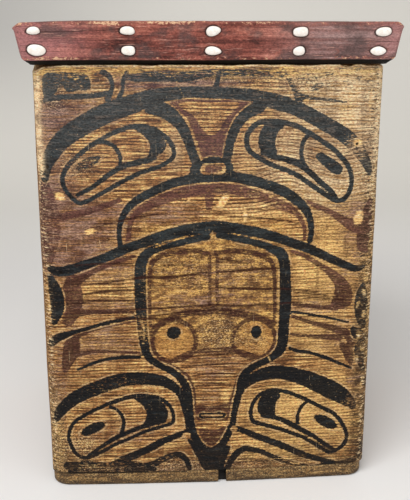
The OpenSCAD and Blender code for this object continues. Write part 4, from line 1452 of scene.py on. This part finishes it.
def wall_textures(m):
    """The layers and noises that several coats of the wall share. The front ends where away begins."""
    wall = SimpleNamespace()
    wall.along, wall.height, wall.depth = m.split(m.where)
    wall.black, wall.red, wall.pale = m.split(m.layer("paint"))
    wall.wear, wall.crack, wall.hole = m.split(m.layer("age"))
    wall.wash, wall.dirt, wall.fair = m.split(m.layer("stain"))
    cedar_grain(m, wall)
    wall.away = abs(wall.along).step(200, 232)
    wall.speck = m.noise((0.16, 0.62, 0.4), 6, 0.68, shift=(1, 4, 0))
    short_fibre = m.noise((0.03, 0.46, 0.3), 3, 0.6, shift=(0, 3, 1))
    long_fibre = m.noise((0.0045, 0.4, 0.3), 4, 0.6, shift=(0, 3, 1))
    wall.fibre = m.mix(wall.away, short_fibre, long_fibre)
    mottle = m.noise((0.035, 0.11, 0.08), 5, 0.68, shift=(2, 7, 0))
    wall.mottle = m.mix(wall.away * 0.7, mottle, wall.streaks)
    wall.body = wall.streaks * 0.34 + wall.mottle * 0.22 + wall.fibre * 0.44
    wall.thin = wall.speck * 0.5 + wall.fibre * 0.5
    wall.ragged = (m.noise((0.42, 0.42, 0.42)) - 0.5) * 2.4 + (wall.thin - 0.5) * 4
    quiet = wall.height.step(165, 190) * wall.height.step(345, 320)
    wall.golden = quiet * abs(wall.along - 3).step(100, 70, 0, 0.65)
    return wall


def bare_cedar(m, wall):
    """Streaks, fair places, adze marks, stains, golden wood inside the shield, and dark grain lines."""
    m.colour = m.ramp(wall.body, (0.45, CEDAR_DARK), (0.49, CEDAR), (0.51, CEDAR), (0.55, CEDAR_LIGHT))
    palest = m.mix(wall.height.step(320, 380), FAIR_GOLD, BARE_WOOD)
    m.coat(wall.fair * 0.85, m.mix(wall.body.step(0.44, 0.53), FAIR_DULL, palest))
    adze = m.mix(wall.away, m.noise((0.11, 0.014, 0.05), 1), MIDDLE_GREY)
    m.coat(adze.step(0.54, 0.68, 0, 0.3), CEDAR_LIGHT)
    m.coat(adze.step(0.46, 0.32, 0, 0.3), CEDAR_DARK)
    stain = m.noise((0.012, 0.018, 0.02), 4, 0.6, shift=(5, 2, 0))
    m.coat(stain.step(0.46, 0.68, 0, 0.5), STAIN)
    patchy = m.noise((0.07, 0.13, 0.1), 6, 0.72, shift=(4, 2, 7))
    m.coat(wall.golden, m.ramp(patchy, (0.42, GOLD_DARK), (0.485, GOLD), (0.57, GOLD_LIGHT)))
    eye_x = abs(wall.along - FACE_X) - EYE_APART
    eye_z = wall.height - EYE_Z
    in_eye = (eye_x * eye_x + eye_z * eye_z).math("SQRT").step(24, 21)
    m.coat(in_eye * wall.dirt.step(0.1, 0.7, 0.5, 0.1), EYE_WOOD)
    wall.lines = wall.lines * wall.golden.step(0, 0.6, 1, 0.4) * in_eye.step(0, 1, 1, 0.5)
    plain = wall.away.step(0, 1, 1, 0.5) * wall.fair.step(0.2, 1, 1, 0.7)
    m.coat(wall.lines * plain * 0.86, GRAIN_LINE)
    m.coat(wall.hair * plain * 0.5, GRAIN_LINE)
    m.coat(wall.away * 0.4, SIDE_BROWN)
    patina = m.noise((0.0035, 0.016, 0.02), 5, 0.55, shift=(1, 6, 3))
    m.coat(wall.away * patina.step(0.48, 0.68, 0, 0.55), PATINA_DARK)
    m.coat(wall.away * patina.step(0.46, 0.3, 0, 0.4), PATINA_LIGHT)


def wash_and_dirt(m, wall):
    """Thin red wash and handled dirt, which the grain shows through."""
    cover = (wall.wash + (wall.thin - 0.5) * 5).step(0.1, 0.95) * wall.wash.step(0.02, 0.3)
    m.coat(cover * 0.85, m.mix(wall.mottle.step(0.42, 0.58), WASH_DARK, WASH))
    thread = m.noise((0.02, 0.7, 0.3), 3, 0.6, shift=(6, 3, 1))
    m.coat(cover * thread.step(0.52, 0.62, 0, 0.6), CEDAR)
    grit = m.noise((0.5, 0.8, 0.8), 3, 0.7, shift=(3, 1, 2))
    dust = wall.dirt * 0.1
    m.coat((grit + dust).step(0.57, 0.66, 0, 0.85), SMUT)
    m.coat((grit - dust).step(0.37, 0.27, 0, 0.6), BARE_WOOD)


def worn_paint(m, wall):
    """Black and red with a brush-drawn edge, worn through in specks that follow the grain, with a painted
    sheen on the upper black.
    """
    lost = wall.speck + wall.wear * 0.34
    clear = (wall.black + wall.ragged * 0.5).step(0.7, 1.4)
    wall.in_black = (wall.black + wall.ragged).step(0.45, -0.45) * lost.step(0.76, 0.67)
    wall.in_red = (wall.red + wall.ragged).step(0.7, -0.7) * clear * lost.step(0.72, 0.56)
    tone = m.noise((0.03, 0.12, 0.1), 5, 0.65, shift=(7, 1, 0)) + wall.hair * -0.12
    # Darker towards the foot and lighter towards the top
    tone = tone + wall.height.step(130, 420, -0.16, 0.06)
    m.coat(wall.in_red * 0.9, m.mix((tone + wall.golden * -0.22).step(0.34, 0.62), RED_DARK, RED_LIGHT))
    black = m.mix(tone.step(0.36, 0.64), BLACK_DARK, BLACK_LIGHT)
    # Painted sheen: the black is lighter towards the top, most on the left
    painted_sheen = wall.height.step(370, 470, 0, 0.2) * wall.along.step(60, -120, 0.55, 1)
    black = m.mix(painted_sheen, black, BLACK_SHEEN)
    scuff = m.noise((0.07, 0.3, 0.3), 5, 0.7, shift=(8, 4, 6))
    black = m.mix(scuff.step(0.52, 0.6, 0, 0.28) * wall.height.step(340, 450), black, BLACK_SCUFFED)
    m.coat(wall.in_black * 0.985, black)


def small_marks(m, wall):
    """A thin pale line beside the black, bare patches, scratches, flecks, cracks, and holes painted dark as
    shade.
    """
    beside = wall.black.step(0.3, 0.8) * wall.black.step(2.3, 1.4)
    m.coat(beside * (wall.mottle.step(0.44, 0.56) * wall.height.step(260, 140, 0.5, 0.8)), CUT_LINE)
    bare = (wall.pale + (wall.thin - 0.5) * 12).step(0.8, -1.2)
    m.coat(bare * 0.85, m.mix(wall.body.step(0.49, 0.58), CEDAR_LIGHT, BARE_WOOD))
    scratch = m.noise((1.1, 0.035, 0.3), 2, turn=(0, 0, 0.35)).step(0.66, 0.72)
    scratched = m.noise((0.02, 0.03, 0.05), 2, shift=(9, 9, 0)).step(0.5, 0.66)
    m.coat(scratch * scratched * 0.5, BARE_WOOD)
    fleck = m.noise((0.3, 0.55, 0.4), 4, 0.6, shift=(6, 2, 5))
    m.coat(fleck.step(0.65, 0.71, 0, 0.75), CUT_LINE)
    wall.split = (wall.crack + wall.ragged * 0.8).step(1.3, -0.5)
    m.coat(wall.split * 0.9, CRACK_BROWN)
    # Painted shade in the small holes
    wall.deep = wall.hole.step(0.6, -0.4)
    m.coat(wall.deep, HOLE_SHADE)


def pegged_joint(m):
    """Dark rings round the corner pegs and a dark seam along the lapped corner. Returns how deep they are."""
    x, y, z = m.split(m.node("Mapping", {"Vector": m.place(), "Scale": (1 / MM, 1 / MM, 1 / MM)}))
    peg_y = y + (WALL_T / 2 - HALF_D)
    # Heights fold onto one peg, and whole pitches keep them above zero
    peg_z = (z + (100 * CORNER_PEG_PITCH - CORNER_PEG_Z)).math("PINGPONG", CORNER_PEG_PITCH / 2)
    from_peg = (peg_y * peg_y + peg_z * peg_z).math("SQRT")
    pegged = from_peg.step(5.2, 4) * x.step(HALF_W - 4, HALF_W - 2)
    seam = abs(x - LIP_X).step(1.1, 0.3) * y.step(HALF_D - 5, HALF_D - 3)
    joint = pegged.math("MAXIMUM", seam)
    m.coat(joint * 0.9, JOINT_BROWN)
    return joint


def worn_edges(m, wall):
    """Grime and painted shade along the foot and the right corner, rubbed bright corners with a painted
    highlight on the left one, a yellow top edge, painted shade in the gap above the base, a plain inside.
    """
    grime_and_shade_noise = m.noise((0.05, 0.16, 0.1), 5, 0.65)
    # Darker towards the foot: grime and painted shade
    m.coat(wall.height.step(70, FOOT_Z) * grime_and_shade_noise.step(0.4, 0.66) * 0.75, GRIME_AND_SHADE)
    tick = m.noise((0.13, 0.42, 0.2), 6, 0.7, shift=(2, 2, 4))
    edge = abs(wall.along)
    right = wall.along.step(-1, 1)
    corner = (edge + right * 9).step(176, 190) * edge.step(214, 203) * grime_and_shade_noise.step(0.38, 0.56, 0.3, 1)
    # Dark ticks at the corners, with painted shade making the right corner darker
    dark = tick + wall.height.step(430, 120, -0.09, 0.02) + right * wall.height.step(480, 330, 0.1, 0.085)
    m.coat(corner * dark.step(0.5, 0.58, 0, 0.85), GRIME_AND_SHADE)
    # Rubbed bright corners, with a painted highlight making the left one brighter
    rubbed = right.step(1, 0, 0.5, 1) * wall.height.step(370, 425, 0, 0.2) - tick
    outer = corner * edge.step(183, 191, 0.1, 1)
    m.coat(outer * rubbed.step(-0.47, -0.41, 0, 0.92), RUBBED_AND_LIT_CORNER)
    strip = wall.height.step(490, 502) * wall.fibre.step(0.44, 0.56, 0, 0.6)
    m.coat(strip * wall.in_black.step(0.6, 0.1), YELLOW_EDGE)
    fleck = m.noise((0.1, 0.3, 0.3), 5, 0.7, shift=(2, 9, 5))
    m.coat(wall.height.step(474, 492) * fleck.step(0.55, 0.62, 0, 0.75), BLACK_LIGHT)
    m.coat(wall.height.step(SEAT_Z - 3, SEAT_Z - 1) * wall.speck.step(0.42, 0.56, 0.1, 0.9), BARE_WOOD)
    # Painted shade in the gap above the base, on the left
    gap = wall.height.step(FOOT_Z + 2.6, FOOT_Z + 1.2) * wall.along.step(-40, -130)
    m.coat(gap * wall.depth.step(5, 1), FOOT_GAP_SHADE)
    m.coat(wall.depth.step(5, 9) * 0.45, INSIDE_BROWN)


def painted_cedar():
    m = Shader("painted_cedar", "wood")
    wall = wall_textures(m)
    bare_cedar(m, wall)
    wash_and_dirt(m, wall)
    worn_paint(m, wall)
    small_marks(m, wall)
    joint = pegged_joint(m)
    worn_edges(m, wall)
    m.crisp((0.32, 0.64, 0.6), 0.72)
    m.coat(wall.height.step(330, 420, 0, 0.1) * (wall.away + wall.in_black).step(1, 0), GREY_FILM)
    paint = wall.in_black.math("MAXIMUM", wall.in_red)
    roughness = paint * -0.08 + (wall.streaks * 0.16 + 0.56)
    relief = wall.streaks * 0.7 + wall.lines * -0.6 + paint * 0.18 + wall.speck * 0.35
    relief = relief + (wall.split * -1 + wall.deep * -2) + joint * -1.5
    return m.finish(roughness, relief, bump_mm=0.7, strength=0.7, Specular_IOR_Level=0.1)


# Colours of the lid, from its paint to the wood below it

LID_DARK, LID_RED = srgb(68, 37, 33), srgb(118, 64, 55)
LID_MID, LID_LIGHT = srgb(152, 88, 75), srgb(194, 125, 106)
LID_PINK, LID_GREY, LID_END = srgb(178, 124, 124), srgb(156, 130, 126), srgb(182, 128, 126)
LID_SMOKE, LID_LINE, LID_SCRATCH = srgb(84, 68, 66), srgb(50, 26, 25), srgb(196, 146, 130)
LID_TOP, LID_SPOT = srgb(116, 64, 54), srgb(148, 84, 68)
LID_RUBBED, LID_BARE = srgb(160, 92, 80), srgb(214, 174, 138)
# Painted shade: near black on the bevels under the lid, dark round the shells' pockets
BEVEL_SHADE, POCKET_SHADE = srgb(5, 3, 3), srgb(34, 22, 20)
LID_WOOD = (0.3, srgb(104, 70, 42)), (0.55, srgb(150, 108, 64)), (0.75, srgb(184, 142, 90))


def lid_paint():
    """Old oxblood paint on a carved lid, rubbed to wood along some edges, with painted shade on the bevels
    below, bare underneath.
    """
    m = Shader("oxblood_lid", "wood")
    along = m.split(m.where)[0]
    edge, gap, outside = m.split(m.layer("age"))
    streaks = m.noise((0.009, 0.2, 0.2), 5, 0.6)
    cloud = m.noise((0.013, 0.03, 0.03), 4, 0.6, shift=(2, 0, 4))
    fine = m.noise((0.3, 0.45, 0.45), 4, 0.65)
    tone = cloud * 0.4 + streaks * 0.4 + fine * 0.2
    m.colour = m.ramp(tone, (0.41, LID_DARK), (0.48, LID_RED), (0.53, LID_MID), (0.6, LID_LIGHT))

    # Faded towards both ends, smoky in two places
    m.coat(along.step(-100, -200, 0, 0.6), LID_PINK)
    m.coat(along.step(40, 130) * streaks.step(0.4, 0.62, 0.3, 0.85), LID_GREY)
    m.coat(along.step(165, 205, 0, 0.5), LID_END)
    smoke = m.noise((0.024, 0.036, 0.036), 3, 0.6, shift=(8, 3, 1))
    smoky = abs(along + 122).step(52, 12, 0, 0.1).math("MAXIMUM", abs(along - 122).step(62, 20, 0, 0.09))
    m.coat((smoke + smoky).step(0.5, 0.66, 0, 0.75), LID_SMOKE)

    # Grain lines, scratches and spots, with a calm top
    lines = m.noise((0.009, 0.6, 0.6), shift=(0, 5, 2))
    m.coat(lines.step(0.56, 0.68, 0, 0.6), LID_LINE)
    scratch = m.noise((0.055, 0.8, 0.8), 2, turn=(0, 0.25, 0))
    m.coat(scratch.step(0.62, 0.7, 0, 0.6), LID_SCRATCH)
    height = m.split(m.place())[2]
    m.coat(height.step((lid_high[2] - 6) * MM, (lid_high[2] - 1) * MM, 0, 0.5), LID_TOP)
    spots = m.noise((0.09, 0.16, 0.16), shift=(1, 1, 6))
    m.coat(spots.step(0.6, 0.7, 0, 0.35), LID_SPOT)

    # Rubbed edges, painted shade on the bevels below, painted shade round the shells, and bare wood where
    # nobody painted
    worn = fine * 1.7 - 0.35 + edge * 0.26
    at_edge = edge.step(0.02, 0.3)
    m.coat(at_edge * worn.step(0.6, 0.74, 0, 0.7), LID_RUBBED)
    m.coat(at_edge * worn.step(0.74, 0.86, 0, 0.9), LID_BARE)
    # Painted shade on the downward bevels
    m.coat(edge.step(-0.15, -0.7), BEVEL_SHADE)
    # Painted shade round the shells
    m.coat(gap.step(1.7, 0) * fine.step(0.3, 0.55, 0.5, 0.9), POCKET_SHADE)
    m.coat((outside + (fine - 0.5) * 0.5).step(0.7, 0.3), m.ramp(streaks, *LID_WOOD))
    m.crisp((0.4, 0.8, 0.8), 0.4)
    relief = streaks * 0.6 + fine * 0.5 + worn.step(0.7, 0.84, 0, -0.6)
    return m.finish(streaks * 0.2 + 0.42, relief, bump_mm=0.7, strength=0.7, Specular_IOR_Level=0.15)


SHELL_CREAM, SHELL_WHITE, SHELL_BAND = srgb(238, 228, 218), srgb(250, 245, 238), srgb(220, 200, 182)
# The second is painted shade at the shell's edge
SHELL_CHIP, SHELL_RIM_SHADE = srgb(176, 146, 122), srgb(96, 66, 54)


def shell_white():
    """Smooth creamy shell with faint growth bands and a thin dark rim of painted shade where it meets the
    lid.
    """
    m = Shader("operculum_shell", "shell")
    rim = m.split(m.where)[2]
    cloud = m.noise((0.22, 0.3, 0.5))
    band = (rim * 20 + cloud * 7).math("SINE")
    m.colour = m.mix(cloud.step(0.34, 0.66), SHELL_CREAM, SHELL_WHITE)
    m.coat(band.step(0.3, 1, 0, 0.16), SHELL_BAND)
    m.coat(m.noise((0.5, 0.6, 1)).step(0.68, 0.74, 0, 0.5), SHELL_CHIP)
    # Painted shade round the shell's edge
    m.coat((rim + cloud * 0.06).step(0.97, 1.04, 0, 0.8), SHELL_RIM_SHADE)
    return m.finish(cloud * 0.12 + 0.34, band * 0.12, bump_mm=0.1, strength=0.4,
                    Coat_Weight=0.1, Coat_Roughness=0.3)


BASE_DARK, BASE_LIGHT = srgb(98, 70, 40), srgb(176, 136, 80)
PEG_DARK, PEG_LIGHT = srgb(84, 58, 36), srgb(150, 112, 70)
BASE_LINE, BASE_RUBBED, BASE_PALE = srgb(38, 27, 20), srgb(210, 178, 128), srgb(204, 168, 110)
# The second is dirt and painted shade towards the floor
BASE_DULL, BASE_FOOT_DIRT_AND_SHADE = srgb(70, 50, 32), srgb(54, 39, 26)
# The second is painted shade in the notch and the joint
BASE_PEPPER, BASE_GAP_SHADE = srgb(44, 34, 25), srgb(12, 9, 7)


def grimy_cedar(name, dark, light, grime_share):
    """Unpainted handled wood, with dirt in the grain and rubbed edges, darkened towards the floor by dirt and
    painted shade, with painted shade in gaps.
    """
    m = Shader(name, "wood")
    edge = m.layer("edge", "Fac")
    streaks = m.noise((0.02, 0.22, 0.45), 5, 0.62)
    fine = m.noise((0.45, 0.7, 0.7), 3, 0.65)
    m.colour = m.ramp(streaks, (0.3, dark), (0.7, light))
    dirt = m.noise((0.035, 0.06, 0.12), 5, 0.65, shift=(4, 4, 0))
    m.coat(dirt.step(0.42, 0.64, 0, grime_share), GRIME_AND_SHADE)
    lines = m.noise((0.012, 0.5, 1.1), shift=(1, 5, 2))
    m.coat(lines.step(0.56, 0.7, 0, 0.7), BASE_LINE)
    rubbed = fine + edge.math("MAXIMUM", 0) * 0.16
    m.coat(rubbed.step(0.54, 0.66, 0, 0.72), BASE_RUBBED)
    places = m.noise((0.06, 0.12, 0.2), 5, 0.7, shift=(3, 9, 4))
    m.coat(places.step(0.53, 0.62, 0, 0.5), BASE_PALE)
    m.coat(places.step(0.48, 0.4, 0, 0.65), BASE_DULL)
    # Darker towards the floor: dirt and painted shade
    low = m.split(m.place())[2].step(9 * MM, 1.5 * MM)
    m.coat(low * dirt.step(0.36, 0.56, 0.45, 0.85), BASE_FOOT_DIRT_AND_SHADE)
    pepper = m.noise((0.5, 0.8, 0.8), 3, 0.7, shift=(2, 6, 1))
    m.coat(pepper.step(0.49, 0.58, 0, 0.85), BASE_PEPPER)
    m.crisp((0.45, 0.7, 0.7), 0.7)
    # Painted shade in the notch and in the joint above the base
    m.coat(edge.step(-0.2, -0.8), BASE_GAP_SHADE)
    relief = streaks * 0.7 + fine * 0.5 + lines.step(0.56, 0.7, 0, -0.6)
    return m.finish(streaks * 0.2 + 0.55, relief, bump_mm=0.5, strength=0.55, Specular_IOR_Level=0.3)


# Floor, light and camera

def soft_light(name, place, target, size, watts):
    lamp = bpy.data.lights.new(name, "AREA")
    lamp.shape = "RECTANGLE"
    lamp.size, lamp.size_y = size
    lamp.energy = watts
    obj = bpy.data.objects.new(name, lamp)
    obj.location = place
    obj.rotation_euler = (Vector(target) - Vector(place)).to_track_quat("-Z", "Y").to_euler()
    bpy.context.collection.objects.link(obj)


PAPER_NEAR, PAPER, PAPER_FAR = srgb(240, 239, 238), srgb(240, 238, 236), srgb(250, 247, 240)
# Painted shade for the top left of the backdrop
PAPER_CORNER_SHADE = srgb(200, 198, 195)
# The floor's sweep in metres: its ends, its height, its bend, half its width, and how far it lies below zero
FLOOR_FRONT, FLOOR_BACK, FLOOR_RISE, FLOOR_BEND, FLOOR_HALF, FLOOR_DROP = -3.0, 2.7, 3.6, 1.2, 4.2, 0.0004


def pale_paper():
    """Paper with painted light: a little brighter farther back, and greyed by painted shade at the top left.
    """
    m = Shader("pale_paper")
    x, y, z = m.split(m.where)
    cloudy = m.noise((1.2, 1.2, 1.2), 2)
    # Painted light: brighter farther back
    far = y.step(-0.5, 2.2) + cloudy * 0.06
    m.colour = m.ramp(far, (0, PAPER_NEAR), (0.5, PAPER), (1, PAPER_FAR))
    # Painted shade greying the top left
    m.coat(x.step(0.3, -1) * z.step(0.05, 0.6) * 0.9, PAPER_CORNER_SHADE)
    return m.finish(0.9, m.noise((400, 400, 400), 2), bump_mm=0.05, strength=0.2)


def floor_and_backdrop():
    """A pale floor that sweeps up far behind the object."""
    profile = [(FLOOR_FRONT, -FLOOR_DROP)]
    for turn in np.linspace(0, math.pi / 2, 17):
        y = FLOOR_BACK - FLOOR_BEND + FLOOR_BEND * math.sin(turn)
        profile.append((y, FLOOR_BEND - FLOOR_BEND * math.cos(turn) - FLOOR_DROP))
    profile.append((FLOOR_BACK, FLOOR_RISE))
    points = [(x, y, z) for y, z in profile for x in (-FLOOR_HALF, FLOOR_HALF)]
    faces = [[2 * i, 2 * i + 1, 2 * i + 3, 2 * i + 2] for i in range(len(profile) - 1)]
    mesh = bpy.data.meshes.new("studio_floor")
    mesh.from_pydata(points, [], faces)
    mesh.shade_smooth()
    mesh.materials.append(pale_paper())
    floor = bpy.data.objects.new("studio_floor", mesh)
    bpy.context.collection.objects.link(floor)


def camera():
    """The photograph's viewpoint: a little above the lid, a little to the left of the middle."""
    lens_mm, sensor_mm = 60.66, 36
    place, forward = (-0.0699, -1.1130, 0.5540), (0.06505, 0.96336, -0.26019)
    data = bpy.data.cameras.new("camera")
    data.lens, data.sensor_width = lens_mm, sensor_mm
    obj = bpy.data.objects.new("camera", data)
    obj.location = place
    obj.rotation_euler = Vector(forward).to_track_quat("-Z", "Y").to_euler()
    bpy.context.collection.objects.link(obj)
    bpy.context.scene.camera = obj


def world_light():
    warm_white, strength = (1.0, 0.985, 0.96, 1), 0.36
    world = bpy.data.worlds.new("studio")
    bpy.context.scene.world = world
    world.use_nodes = True
    sky = world.node_tree.nodes["Background"]
    sky.inputs["Color"].default_value = warm_white
    sky.inputs["Strength"].default_value = strength


bpy.context.scene.view_settings.view_transform = "Standard"
camera()
world_light()
floor_and_backdrop()
soft_light("key", place=(-0.8, -1.7, 2.5), target=(0, 0, 0.25), size=(2.0, 1.4), watts=64)
soft_light("fill", place=(1.3, -2.0, 1.2), target=(0, 0, 0.3), size=(2.0, 1.6), watts=14)

bent_side_plank(painted_cedar())
base_board(grimy_cedar("grimy_base_cedar", BASE_DARK, BASE_LIGHT, grime_share=0.5))
peg_wood = grimy_cedar("peg_wood", PEG_DARK, PEG_LIGHT, grime_share=0.4)
for side in SIDES:
    spots = [(x, y, 0) for x, y in base_peg_centres(side)]
    pegs("base_pegs_" + side, spots, (0, 0, 1), PEG_TRIM, BASE_T + BASE_PEG_RISE, peg_wood)
heights = (FOOT_Z + SEAT_Z) / 2 + row_places(CORNER_PEGS, SEAT_Z - FOOT_Z, CORNER_PEG_MARGIN)
spots = [(HALF_W - CORNER_PEG_L, HALF_D - WALL_T / 2, z) for z in heights]
pegs("corner_pegs", spots, (1, 0, 0), 0, CORNER_PEG_L + CORNER_PEG_HEAD, peg_wood)
lid(lid_paint())
white = shell_white()
for seed, (node, shell) in enumerate(SHELLS.items(), 1):
    operculum(node, shell, white, seed)
